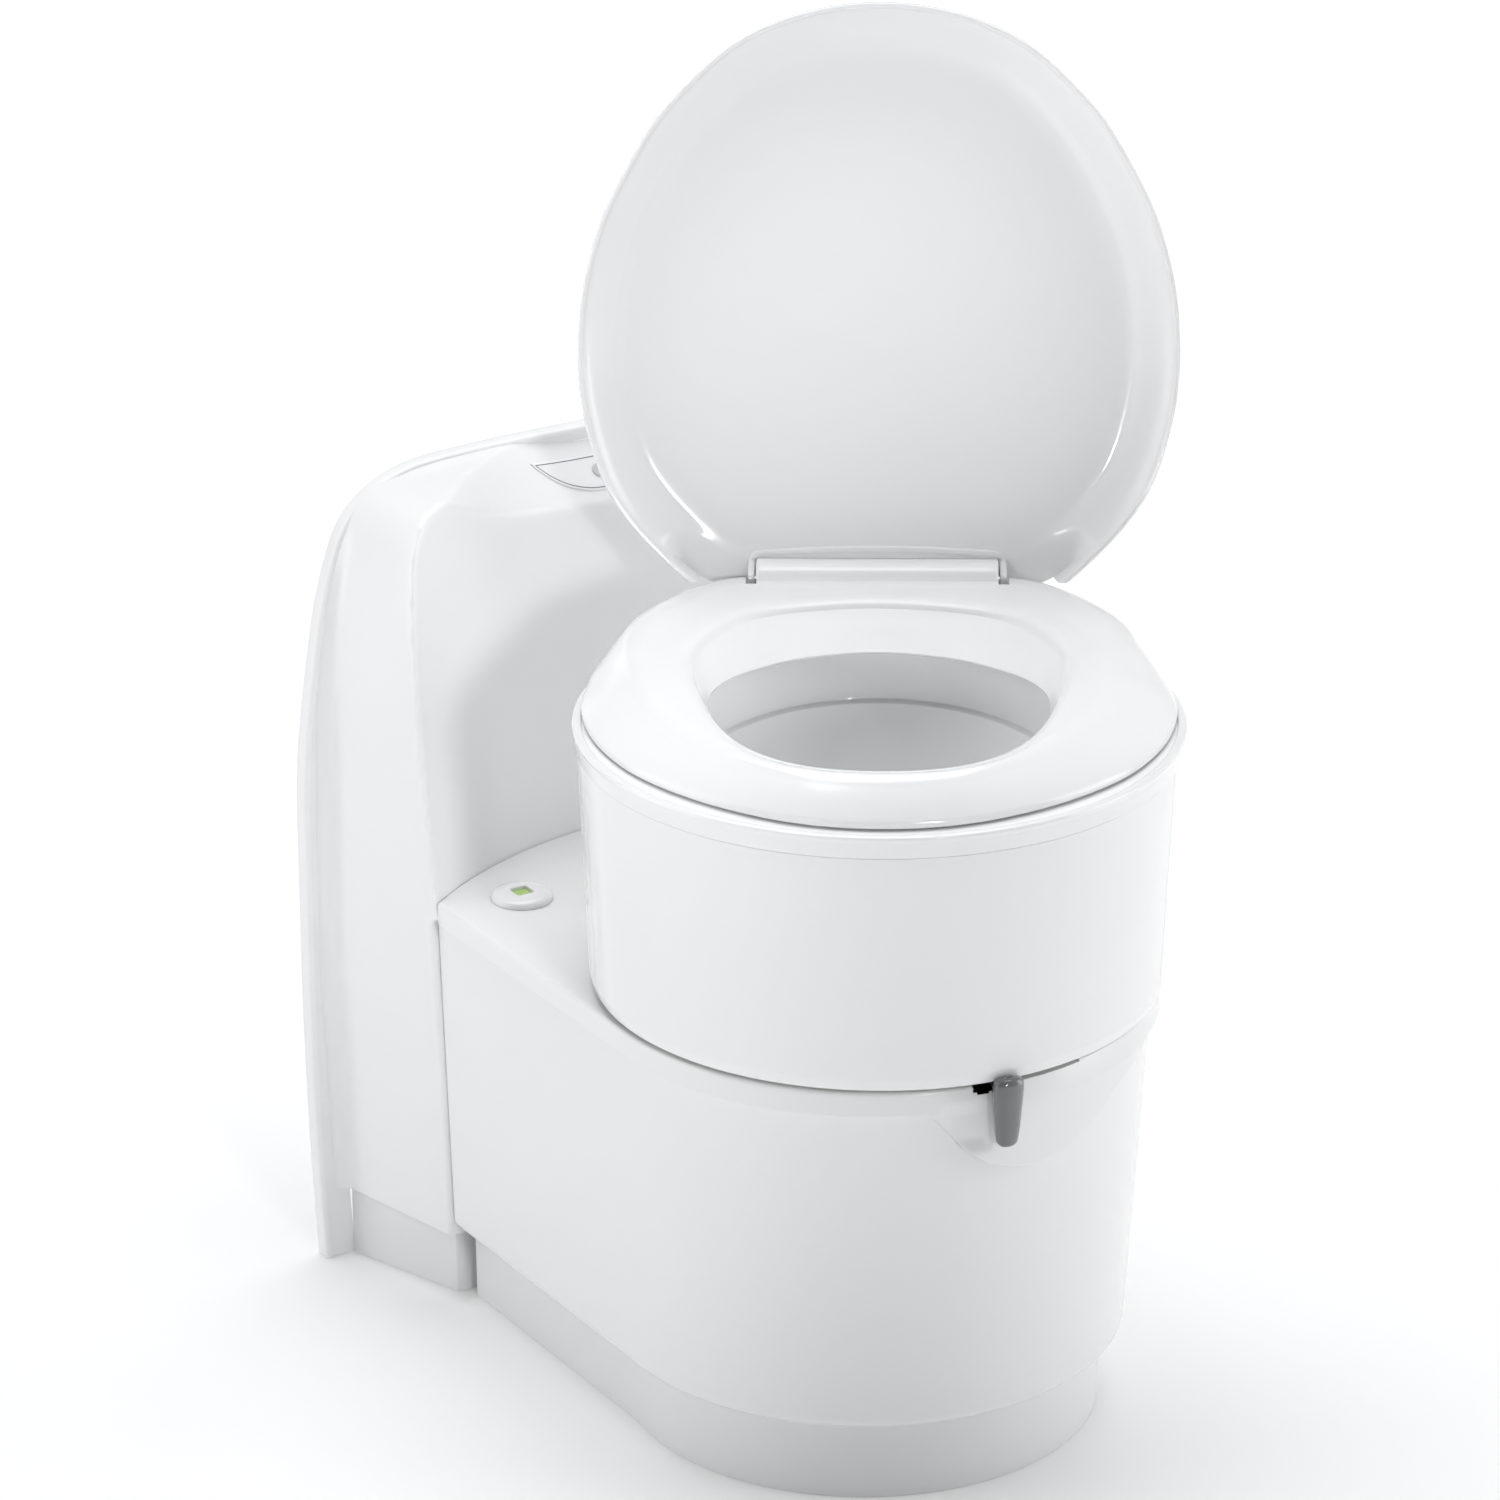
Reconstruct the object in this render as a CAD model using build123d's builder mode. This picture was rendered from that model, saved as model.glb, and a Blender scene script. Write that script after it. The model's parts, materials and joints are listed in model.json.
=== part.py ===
from build123d import *
from math import sin, cos, tan, radians, degrees, pi, sqrt, atan2
import os

os.makedirs("parts", exist_ok=True)

# ---------------------------------------------------------------- dimensions
# Origin: floor, under the swivel axis of the bowl. +Z up, +Y towards the wall, front faces -Y.
TURN = 32.4              # the bowl rests turned this far to its right
WALL_Y = 359.7           # the wall that the backrest stands against
FLANGE_T = 11.7          # depth of the wall flange
PLINTH_TOP = 54.3
BAND_LOW = 275.7         # lower edge of the band round the shoulder
DECK = 290.7             # top of the shoulder
BOWL_LOW = 295.6         # lower edge of the bowl skirt
COLLAR_LOW = 448.6       # lower edge of the bowl collar
COLLAR_TOP = 463.0
SEAT_LOW = 465.0
SEAT_TOP = 489.0
WALL = 3.2               # moulded wall thickness
SHOULDER_HALF = 176.5    # half width of the shoulder, and radius of its round front
SHOULDER_FRONT = 5.1     # y of the centre of that round front
BODY_REAR = 246.0
BACK_R = 298.0           # radius of the hollow front of the backrest, about the bowl axis
BACK_LEAN = 0.10         # how far that radius grows per mm of height
HINGE_Y, HINGE_Z = 175.0, 484.0   # seat and lid axis, in the bowl's own directions
LID_LEAN = 8.0           # the open lid leans back this far
ROD_R = 4.0
RUN = 0.06               # running clearance on a radius
BOWL_Y = -3.0            # the bowl's round stands this far ahead of the swivel axis
SECTOR_TEETH, PINION_TEETH, MODULE = 80, 16, 2.0
PINION_Y = MODULE * (SECTOR_TEETH + PINION_TEETH) / 2   # 96
LEVER_AT = -7.7          # the blade lever rests at this angle from straight ahead

T = radians(TURN)


def turned(x, y, z=0.0):
    return (x * cos(T) + y * sin(T), -x * sin(T) + y * cos(T), z)


def bowl_plane(z):
    return Plane(origin=(0, 0, z), x_dir=turned(1, 0), z_dir=(0, 0, 1))


def side_plane(x):
    # sketch x is the bowl's y, sketch y is z; extruding goes to the bowl's +x
    return Plane(origin=turned(x, 0), x_dir=turned(0, 1), z_dir=turned(1, 0))


L = radians(LID_LEAN)


def lid_plane(n):
    # sketch x is the bowl's x, sketch y runs up the open lid, n is towards the seat
    o = turned(0, HINGE_Y - cos(L) * n, HINGE_Z + sin(L) * n)
    return Plane(origin=o, x_dir=turned(1, 0), z_dir=turned(0, -cos(L), sin(L)))


def radial_plane(deg, at=(0, 0)):
    # sketch x is the radius at this bearing, sketch y is z
    a = radians(deg)
    return Plane(origin=(at[0], at[1], 0), x_dir=(cos(a), sin(a), 0), z_dir=(sin(a), -cos(a), 0))


def both(points):
    # a half outline, from front to rear on +x, closed over the middle
    left = [(-x, y) for x, y in reversed(points) if x > 0.01]
    return points + left


def tooth(teeth, module, at_deg, backlash=0.16, pressure=25.0, inside=1.6):
    # one involute tooth, as the corners of a closed outline
    rp = module * teeth / 2
    rb = rp * cos(radians(pressure))
    rt = rp + 0.95 * module
    r0 = rp - 1.2 * module
    inv = tan(radians(pressure)) - radians(pressure)
    half = pi / (2 * teeth) - backlash / (2 * rp)
    flank = []
    for k in range(6):
        r = max(rb, r0) + (rt - max(rb, r0)) * k / 5
        al = sqrt(max((r / rb) ** 2 - 1, 0))
        flank.append((r, half + inv - (al - atan2(al, 1))))
    root = (r0 - inside, flank[0][1])
    right = [root] + flank
    a0 = radians(at_deg)
    pts = [(r * cos(a0 - a), r * sin(a0 - a)) for r, a in right]
    pts += [(r * cos(a0 + a), r * sin(a0 + a)) for r, a in reversed(right)]
    return pts


# ================================================================ fixed body
# recessed plinth, a ring with a round front
with BuildPart() as plinth:
    with BuildSketch():
        with Locations((0, 15)):
            Circle(150.9)
        with Locations((0, 145)):
            Rectangle(296, 210)
        with Locations((0, 260)):
            Rectangle(320, 19, mode=Mode.SUBTRACT)
    extrude(amount=PLINTH_TOP)
    with BuildSketch():
        with Locations((0, 15)):
            Circle(146.9)
        with Locations((0, 143.25)):
            Rectangle(288, 206.5)
    extrude(amount=PLINTH_TOP, mode=Mode.SUBTRACT)
plinth.part.label = "plinth"
export_step(plinth.part, "parts/plinth.step")

# floor plate inside the plinth, with its four screw holes
with BuildPart() as base_plate:
    with BuildSketch():
        with Locations((0, 15)):
            Circle(146.8)
        with Locations((0, 142.6)):
            Rectangle(287.8, 205.0)
    extrude(amount=4)
    with Locations((-128, 60, 4), (128, 60, 4), (-128, 210, 4), (128, 210, 4)):
        Hole(radius=3.25)
base_plate.part.label = "base_plate"
export_step(base_plate.part, "parts/base_plate.step")

# low box behind the plinth, under the backrest
with BuildPart() as rear_kick_box:
    with BuildSketch():
        with BuildLine():
            Polyline((-155.9, 259.4), (-182.5, 348.0), (182.5, 348.0), (155.9, 259.4), close=True)
        make_face()
    extrude(amount=49.8)
    with BuildSketch():
        with BuildLine():
            Polyline((-152.2, 262.6), (-178.3, 349.0), (178.3, 349.0), (152.2, 262.6), close=True)
        make_face()
    extrude(amount=49.8, mode=Mode.SUBTRACT)
rear_kick_box.part.label = "rear_kick_box"
export_step(rear_kick_box.part, "parts/rear_kick_box.step")

# lower body: tapered shell with a round front, open at the rear and top
with BuildPart() as lower_body:
    for z, half, c in ((PLINTH_TOP, 165.0, 14.2), (287.0, 173.4, 5.1)):
        with BuildSketch(Plane.XY.offset(z)):
            with BuildLine():
                Line((half, c), (half, BODY_REAR))
                Line((half, BODY_REAR), (-half, BODY_REAR))
                Line((-half, BODY_REAR), (-half, c))
                ThreePointArc((-half, c), (0, c - half), (half, c))
            make_face()
    loft()
    low = lower_body.edges().filter_by_position(Axis.Z, PLINTH_TOP - 0.01, PLINTH_TOP + 0.01)
    fillet(low.filter_by(lambda e: abs(e.center().Y - BODY_REAR) > 1), radius=7)
    for z, half, c in ((PLINTH_TOP + WALL, 165.1 - WALL, 14.1), (287.1, 173.4 - WALL, 5.1)):
        with BuildSketch(Plane.XY.offset(z)):
            with BuildLine():
                Line((half, c), (half, BODY_REAR + 6))
                Line((half, BODY_REAR + 6), (-half, BODY_REAR + 6))
                Line((-half, BODY_REAR + 6), (-half, c))
                ThreePointArc((-half, c), (0, c - half), (half, c))
            make_face()
    loft(mode=Mode.SUBTRACT)
    # slot in the top edge at the front, for the lever's arm
    with BuildSketch(Plane.XY.offset(276.0)):
        with BuildLine():
            a, b = radians(-14.0 - 90), radians(13.0 - 90)
            Polyline((0, 0), (230 * cos(a), 230 * sin(a)), (230 * cos(b), 230 * sin(b)), close=True)
        make_face()
    extrude(amount=12, mode=Mode.SUBTRACT)
    with BuildSketch(Plane.XY.offset(BAND_LOW - 0.3)):
        with Locations((0, 242)):
            Rectangle(360, 16)
    extrude(amount=20, mode=Mode.SUBTRACT)
lower_body.part.label = "lower_body"
export_step(lower_body.part, "parts/lower_body.step")

# tray that the waste tank rolls on
with BuildPart() as guide_tray:
    with BuildSketch(Plane.XY.offset(PLINTH_TOP + WALL)):
        with BuildLine():
            Line((153, 14), (153, 348))
            Line((153, 348), (-153, 348))
            Line((-153, 348), (-153, 14))
            ThreePointArc((-153, 14), (0, -139), (153, 14))
        make_face()
    extrude(amount=2.9)
    with BuildSketch(Plane.XY.offset(60.4)):
        with Locations((-152, 181), (152, 181)):
            Rectangle(2, 334)
    extrude(amount=16)
guide_tray.part.label = "guide_tray"
export_step(guide_tray.part, "parts/guide_tray.step")

# shield-shaped skirt that hangs from the shoulder band at the front
SHIELD = [(-25, 277.0), (-23, 275.5), (-21, 273.0), (-19.6, 268.8), (-17, 259.0), (-14.3, 249.6), (-9.2, 239.0),
          (-4.3, 234.0), (0, 232.6), (5.2, 233.6), (10, 238.0), (15.6, 246.2), (19, 253.0), (22, 259.0),
          (26, 264.5), (30, 269.0), (35, 273.5), (40, 276.0), (42, 277.0)]
with BuildPart() as shield_form:
    with BuildSketch(Plane.XY.offset(230)):
        with Locations((0, SHOULDER_FRONT)):
            Circle(SHOULDER_HALF + 1.0)
            Circle(SHOULDER_HALF - 2.7, mode=Mode.SUBTRACT)
        with Locations((0, 105)):
            Rectangle(400, 200, mode=Mode.SUBTRACT)
    extrude(amount=48)
    with BuildSketch(Plane.XZ):
        with BuildLine():
            Polyline(*[(177 * sin(radians(a)), z) for a, z in SHIELD], (120, 279.0), (-75, 279.0), close=True)
        make_face()
    extrude(amount=220, both=True, mode=Mode.INTERSECT)

# shoulder deck, with its band, the shield, the swivel bore and the lever slot
with BuildPart() as shoulder_deck:
    arc_y = sqrt(BACK_R ** 2 - SHOULDER_HALF ** 2)
    with BuildSketch(Plane.XY.offset(BAND_LOW)):
        with BuildLine():
            Line((SHOULDER_HALF, SHOULDER_FRONT), (SHOULDER_HALF, arc_y))
            ThreePointArc((SHOULDER_HALF, arc_y), (0, BACK_R), (-SHOULDER_HALF, arc_y))
            Line((-SHOULDER_HALF, arc_y), (-SHOULDER_HALF, SHOULDER_FRONT))
            ThreePointArc((-SHOULDER_HALF, SHOULDER_FRONT), (0, SHOULDER_FRONT - SHOULDER_HALF), (SHOULDER_HALF, SHOULDER_FRONT))
        make_face()
    extrude(amount=DECK - BAND_LOW)
    fillet(shoulder_deck.faces().sort_by(Axis.Z)[-1].edges().filter_by(
        lambda e: e.center().Y < 235), radius=2.0)
    with BuildSketch(Plane.XY.offset(BAND_LOW)):
        with BuildLine():
            h = SHOULDER_HALF - 2.8
            Line((h, SHOULDER_FRONT), (h, arc_y - 1))
            ThreePointArc((h, arc_y - 1), (0, BACK_R - 3.2), (-h, arc_y - 1))
            Line((-h, arc_y - 1), (-h, SHOULDER_FRONT))
            ThreePointArc((-h, SHOULDER_FRONT), (0, SHOULDER_FRONT - h), (h, SHOULDER_FRONT))
        make_face()
    extrude(amount=DECK - BAND_LOW - 3.5, mode=Mode.SUBTRACT)
    with BuildSketch(Plane.XY.offset(262)):
        Circle(124)
    extrude(amount=DECK - 262 - 1)
    add(shield_form.part)
    with BuildSketch(Plane.XY.offset(240)):
        Circle(120)
        with Locations((-127.5, 218)):
            Circle(14.05)
    extrude(amount=60, mode=Mode.SUBTRACT)
    for z, r, a, b in ((282.0, 173.2, -13.4, 12.4), (289.0, 230, -13.4, 12.4), (282.6, 230, -12.6, -10.0)):
        with BuildSketch(Plane.XY.offset(z)):
            with BuildLine():
                a, b = radians(a - 90), radians(b - 90)
                Polyline((147 * cos(a), 147 * sin(a)), (r * cos(a), r * sin(a)), (r * cos((a + b) / 2) * 1.03, r * sin((a + b) / 2) * 1.03 if r > 200 else r * sin((a + b) / 2)), (r * cos(b), r * sin(b)),
                         (147 * cos(b), 147 * sin(b)), close=True)
            make_face()
        extrude(amount=12, mode=Mode.SUBTRACT)
shoulder_deck.part.label = "shoulder_deck"
export_step(shoulder_deck.part, "parts/shoulder_deck.step")

# outlines of the backrest seen from the front, half widths, floor to top
BACK_REAR = [(189.5, 50), (194.5, 150), (197, 223), (196.5, 328), (194, 397), (188.5, 450), (181, 495), (171, 521), (152, 535), (100, 541), (50, 543)]
BACK_FORE = [(167.0, 50), (171, 150), (175, 223), (179.5, 290), (181, 340), (180.5, 420), (177, 480), (168, 517), (150, 533), (100, 538), (50, 540)]
INNER = 3.4


def closed_outline(points, inset=0.0, low=None):
    pts = []
    for i, (x, z) in enumerate(points):
        pts.append((x - inset, min(z, 999) - (inset if z > 500 else 0)))
    if low is not None:
        pts[0] = (pts[0][0], low)
    return pts + [(-x, z) for x, z in reversed(pts)]


# the hollow inside the backrest
with BuildPart() as backrest_core:
    with BuildSketch(Plane.XZ.offset(-(BODY_REAR + 1 + INNER))):
        with BuildLine():
            Polyline(*closed_outline(BACK_FORE, INNER, 40), close=True)
        make_face()
    with BuildSketch(Plane.XZ.offset(-349.0)):
        with BuildLine():
            Polyline(*closed_outline(BACK_REAR, INNER, 40), close=True)
        make_face()
    loft(ruled=True)
    with BuildSketch(Plane.XZ):
        with BuildLine():
            Polyline((0, BAND_LOW - 3.8), (BACK_R + INNER, BAND_LOW - 3.8), (BACK_R + INNER, 290),
                     (BACK_R + INNER + BACK_LEAN * 290, 580), (0, 580), close=True)
        make_face()
    revolve(axis=Axis.Z, mode=Mode.SUBTRACT)
    with BuildSketch(Plane(origin=(0, 333, 517.75 - INNER * 1.5), x_dir=(1, 0, 0), z_dir=(0, cos(radians(48)), sin(radians(48))))):
        with Locations((0, -240)):
            Circle(240)
    extrude(amount=160, both=True, mode=Mode.SUBTRACT)

# backrest housing: flared sides, hollow leaning front, sloped top for the control panel
BEVEL = Plane(origin=(0, 333, 517.75), x_dir=(1, 0, 0), z_dir=(0, cos(radians(48)), sin(radians(48))))
PANEL = Plane(origin=(0, 333, 517.75), x_dir=(1, 0, 0), z_dir=(0, -sin(radians(48)), cos(radians(48))))
with BuildPart() as backrest:
    with BuildSketch(Plane.XZ.offset(-(BODY_REAR + 1))):
        with BuildLine():
            Polyline(*closed_outline(BACK_FORE), close=True)
        make_face()
    with BuildSketch(Plane.XZ.offset(-(WALL_Y - FLANGE_T))):
        with BuildLine():
            Polyline(*closed_outline(BACK_REAR), close=True)
        make_face()
    loft(ruled=True)
    with BuildSketch(Plane.XZ):
        with BuildLine():
            Polyline((0, BAND_LOW - 0.3), (BACK_R + 0.3, BAND_LOW - 0.3), (BACK_R + 0.3, 290),
                     (BACK_R + 0.3 + BACK_LEAN * 290, 580), (0, 580), close=True)
        make_face()
    revolve(axis=Axis.Z, mode=Mode.SUBTRACT)
    with BuildSketch(BEVEL):
        with Locations((0, -240)):
            Circle(240)
    extrude(amount=160, both=True, mode=Mode.SUBTRACT)
    add(backrest_core.part, mode=Mode.SUBTRACT)
    # way through for the waste tank
    with BuildSketch(Plane.XY.offset(40)):
        with Locations((0, 250)):
            Rectangle(312, 22)
    extrude(amount=230.8, mode=Mode.SUBTRACT)
    # pocket and wiring hole for the control panel
    with BuildSketch(PANEL.offset(-1.2)):
        with BuildLine():
            Line((-49, 14), (49, 14))
            ThreePointArc((49, 14), (0, -12), (-49, 14))
        make_face()
    extrude(amount=16, mode=Mode.SUBTRACT)
    with BuildSketch(PANEL.offset(-12)):
        with Locations((0, 2)):
            Circle(6.3)
    extrude(amount=24, mode=Mode.SUBTRACT)
backrest.part.label = "backrest"
export_step(backrest.part, "parts/backrest.step")

# flange that stands against the wall
FLANGE = [(206, 0), (210.5, 88), (213, 189), (213.3, 295), (211, 364.5), (199, 448), (187, 493), (176, 515), (160, 530), (138, 540), (109.5, 544.5), (54, 546.4)]
FLANGE_IN = [(186, -2), (190.5, 88), (193.5, 189), (193.6, 295), (192, 364.5), (184, 448), (176.5, 493), (164, 510), (150, 519), (134, 525), (109.5, 528), (54, 529)]
with BuildPart() as wall_flange:
    with BuildSketch(Plane.XZ.offset(-WALL_Y)):
        with BuildLine():
            Polyline(*FLANGE, *[(-x, z) for x, z in reversed(FLANGE)], close=True)
        make_face()
    extrude(amount=FLANGE_T - 0.0)
    fillet(wall_flange.faces().sort_by(Axis.Y)[0].edges().filter_by(lambda e: e.center().Z > 1), radius=1.2)
    with BuildSketch(Plane.XZ.offset(-WALL_Y - 1)):
        with BuildLine():
            Polyline(*FLANGE_IN, *[(-x, z) for x, z in reversed(FLANGE_IN)], close=True)
        make_face()
    extrude(amount=FLANGE_T + 2, mode=Mode.SUBTRACT)
    # screw lugs behind the housing
    with BuildSketch(Plane.XZ.offset(-WALL_Y)):
        with Locations((-181, 120), (181, 120), (-181, 400), (181, 400)):
            Rectangle(28, 24)
    extrude(amount=4)
    with BuildSketch(Plane.XZ.offset(-WALL_Y - 1)):
        with Locations((-176, 120), (176, 120), (-176, 400), (176, 400)):
            Circle(2.75)
    extrude(amount=8, mode=Mode.SUBTRACT)
wall_flange.part.label = "wall_flange"
export_step(wall_flange.part, "parts/wall_flange.step")

# control panel on the slope, with a round flush button
with BuildPart() as control_panel:
    with BuildSketch(PANEL.offset(-1.2)):
        with BuildLine():
            Line((-48.4, 13.8), (48.4, 13.8))
            ThreePointArc((48.4, 13.8), (0, -11.7), (-48.4, 13.8))
        make_face()
    extrude(amount=2.4)
    with BuildSketch(PANEL.offset(-11.4)):
        with Locations((0, 2)):
            Circle(6.0)
    extrude(amount=11)
    with BuildSketch(PANEL.offset(-12)):
        with Locations((0, 2)):
            Circle(5.0)
    extrude(amount=20, mode=Mode.SUBTRACT)
control_panel.part.label = "control_panel"
export_step(control_panel.part, "parts/control_panel.step")

with BuildPart() as flush_button:
    with BuildSketch(PANEL.offset(-6.5)):
        with Locations((0, 2)):
            Circle(4.92)
    extrude(amount=8.6)
    fillet(flush_button.edges().filter_by(GeomType.CIRCLE).sort_by(Axis.Z)[-1], radius=0.8)
flush_button.part.label = "flush_button"
export_step(flush_button.part, "parts/flush_button.step")

with BuildPart() as control_board:
    with BuildSketch(PANEL.offset(-13.0)):
        with Locations((0, 2)):
            Rectangle(56, 20)
    extrude(amount=1.6)
    with BuildSketch(PANEL.offset(-11.4)):
        with Locations((0, 2)):
            Rectangle(6, 6)
    extrude(amount=2.3)
control_board.part.label = "control_board"
export_step(control_board.part, "parts/control_board.step")

# water valve inside the backrest, its spigot through the wall plane, and the hose to the deck gland
with BuildPart() as water_valve:
    with Locations((110, 326, 380)):
        Box(34, 26, 40)
        Cylinder(13, 70)
    with BuildSketch(Plane.XZ.offset(-339)):
        with Locations((110, 380)):
            Circle(10)
    extrude(amount=-6)
    with BuildSketch(Plane.XZ.offset(-339)):
        with Locations((110, 380)):
            Circle(6)
    extrude(amount=-19)
    with Locations((150, 326, 380)):
        Box(64, 16, 4)
water_valve.part.label = "water_valve"
export_step(water_valve.part, "parts/water_valve.step")

HOSE = [(110, 326, 345), (110, 326, 298), (110, 290, 262), (92, 236, 262), (92, 178, 262)]
with BuildPart() as flush_hose:
    with BuildLine() as hose_line:
        FilletPolyline(*HOSE, radius=[24, 24, 40])
    with BuildSketch(Plane(origin=HOSE[0], z_dir=(0, 0, -1))):
        Circle(6)
    sweep()
flush_hose.part.label = "flush_hose"
export_step(flush_hose.part, "parts/flush_hose.step")

with BuildPart() as hose_gland:
    with BuildSketch(Plane.XY.offset(254)):
        with Locations((92, 168)):
            Rectangle(18, 20)
    extrude(amount=DECK - 3.5 - 254)
hose_gland.part.label = "hose_gland"
export_step(hose_gland.part, "parts/hose_gland.step")

# level window in the shoulder
with BuildPart() as level_bezel:
    with BuildSketch(Plane.XY.offset(DECK)):
        with Locations((-127.5, 218)):
            Circle(20)
    extrude(amount=5.6)
    fillet(level_bezel.edges().filter_by(GeomType.CIRCLE).sort_by(Axis.Z)[-1], radius=2.2)
    with BuildSketch(Plane.XY.offset(282)):
        with Locations((-127.5, 218)):
            Circle(13.95)
    extrude(amount=9)
    with BuildSketch(Plane.XY.offset(280)):
        with Locations((-127.5, 218)):
            Rectangle(12, 12)
    extrude(amount=20, mode=Mode.SUBTRACT)
level_bezel.part.label = "level_bezel"
export_step(level_bezel.part, "parts/level_bezel.step")

with BuildPart() as level_window:
    with BuildSketch(Plane.XY.offset(290.0)):
        with Locations((-127.5, 218)):
            Rectangle(12, 12)
    extrude(amount=1.6)
level_window.part.label = "level_window"
export_step(level_window.part, "parts/level_window.step")

with BuildPart() as sight_tube:
    with BuildSketch(Plane.XY.offset(240)):
        with Locations((-127.5, 218)):
            Circle(16)
            Circle(13.95, mode=Mode.SUBTRACT)
    extrude(amount=41.8)
sight_tube.part.label = "sight_tube"
export_step(sight_tube.part, "parts/sight_tube.step")

# plain bearing ring that the bowl turns in
with BuildPart() as swivel_bearing:
    with BuildSketch(radial_plane(0)):
        with BuildLine():
            Polyline((112 + RUN, 264), (120, 264), (120, DECK), (130, DECK), (130, DECK + 4.4), (112 + RUN, DECK + 4.4), close=True)
        make_face()
    revolve(axis=Axis.Z)
swivel_bearing.part.label = "swivel_bearing"
export_step(swivel_bearing.part, "parts/swivel_bearing.step")

# plate that carries the blade lever's sector, hung under the shoulder
with BuildPart() as mechanism_plate:
    with BuildSketch(Plane.XY.offset(243)):
        Circle(98)
        with PolarLocations(115, 4, start_angle=45):
            Rectangle(50, 16)
        Circle(50.5, mode=Mode.SUBTRACT)
        with Locations((0, 110)):
            Rectangle(44, 100, mode=Mode.SUBTRACT)
    extrude(amount=3)
    with BuildSketch(Plane.XY.offset(246)):
        with PolarLocations(134, 4, start_angle=45):
            Circle(6)
    extrude(amount=41.2)
mechanism_plate.part.label = "mechanism_plate"
export_step(mechanism_plate.part, "parts/mechanism_plate.step")

# ================================================================ bowl, turned
with BuildPart() as swivel_hub:
    with BuildSketch(radial_plane(0)):
        with BuildLine():
            Polyline((108, 258), (112, 258), (112, BOWL_LOW - 0.2), (150, BOWL_LOW - 0.2), (150, BOWL_LOW + 2.8),
                     (46, BOWL_LOW + 2.8), (46, BOWL_LOW - 0.2), (108, BOWL_LOW - 0.2), close=True)
        make_face()
    revolve(axis=Axis.Z)
    with BuildSketch(bowl_plane(BOWL_LOW - 0.2)):
        with Locations((0, BOWL_Y)):
            Circle(174)
        Circle(149, mode=Mode.SUBTRACT)
    extrude(amount=3.0)
    with BuildSketch(bowl_plane(257)):
        with PolarLocations(110, 4, start_angle=45):
            Circle(1.4)
    extrude(amount=12, mode=Mode.SUBTRACT)
swivel_hub.part.label = "swivel_hub"
export_step(swivel_hub.part, "parts/swivel_hub.step")

with BuildPart() as hub_retainer:
    with BuildSketch(Plane.XY.offset(254.2)):
        Circle(123)
        Circle(100, mode=Mode.SUBTRACT)
    extrude(amount=3.8)
    with BuildSketch(bowl_plane(254)):
        with PolarLocations(110, 4, start_angle=45):
            Circle(1.4)
    extrude(amount=6, mode=Mode.SUBTRACT)
hub_retainer.part.label = "hub_retainer"
export_step(hub_retainer.part, "parts/hub_retainer.step")

with BuildPart() as hub_screws:
    with BuildSketch(bowl_plane(251.8)):
        with PolarLocations(110, 4, start_angle=45):
            Circle(3.4)
    extrude(amount=2.4)
    with BuildSketch(bowl_plane(254)):
        with PolarLocations(110, 4, start_angle=45):
            Circle(1.35)
    extrude(amount=13)
hub_screws.part.label = "hub_screws"
export_step(hub_screws.part, "parts/hub_screws.step")

FRONT = -90 - TURN
SPLIT = 74.7
BX, BY, _ = turned(0, BOWL_Y)
BOWL_AXIS = Axis((BX, BY, 0), (0, 0, 1))
SKIRT = [(174.0, BOWL_LOW), (176.0, BOWL_LOW + 1.0), (178.0, BOWL_LOW + 6), (184.2, COLLAR_LOW), (181.2, COLLAR_LOW), (175.1, BOWL_LOW + 7), (174.0, BOWL_LOW + 4)]
with BuildPart() as bowl_front_skirt:
    with BuildSketch(radial_plane(FRONT - SPLIT + 0.07, (BX, BY))):
        with BuildLine():
            Polyline(*SKIRT, close=True)
        make_face()
    revolve(axis=BOWL_AXIS, revolution_arc=2 * SPLIT - 0.14)
bowl_front_skirt.part.label = "bowl_front_skirt"
export_step(bowl_front_skirt.part, "parts/bowl_front_skirt.step")

with BuildPart() as bowl_rear_skirt:
    with BuildSketch(radial_plane(FRONT + SPLIT + 0.07, (BX, BY))):
        with BuildLine():
            Polyline(*SKIRT, close=True)
        make_face()
    revolve(axis=BOWL_AXIS, revolution_arc=360 - 2 * SPLIT - 0.14)
bowl_rear_skirt.part.label = "bowl_rear_skirt"
export_step(bowl_rear_skirt.part, "parts/bowl_rear_skirt.step")

with BuildPart() as bowl_collar:
    with BuildSketch(radial_plane(0, (BX, BY))):
        with BuildLine():
            Polyline((178.5, COLLAR_LOW), (185.2, COLLAR_LOW), (186.6, COLLAR_TOP), (181.2, COLLAR_TOP), (181.2, 459.3), (178.5, 459.3), close=True)
        make_face()
    revolve(axis=BOWL_AXIS)
bowl_collar.part.label = "bowl_collar"
export_step(bowl_collar.part, "parts/bowl_collar.step")

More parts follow.
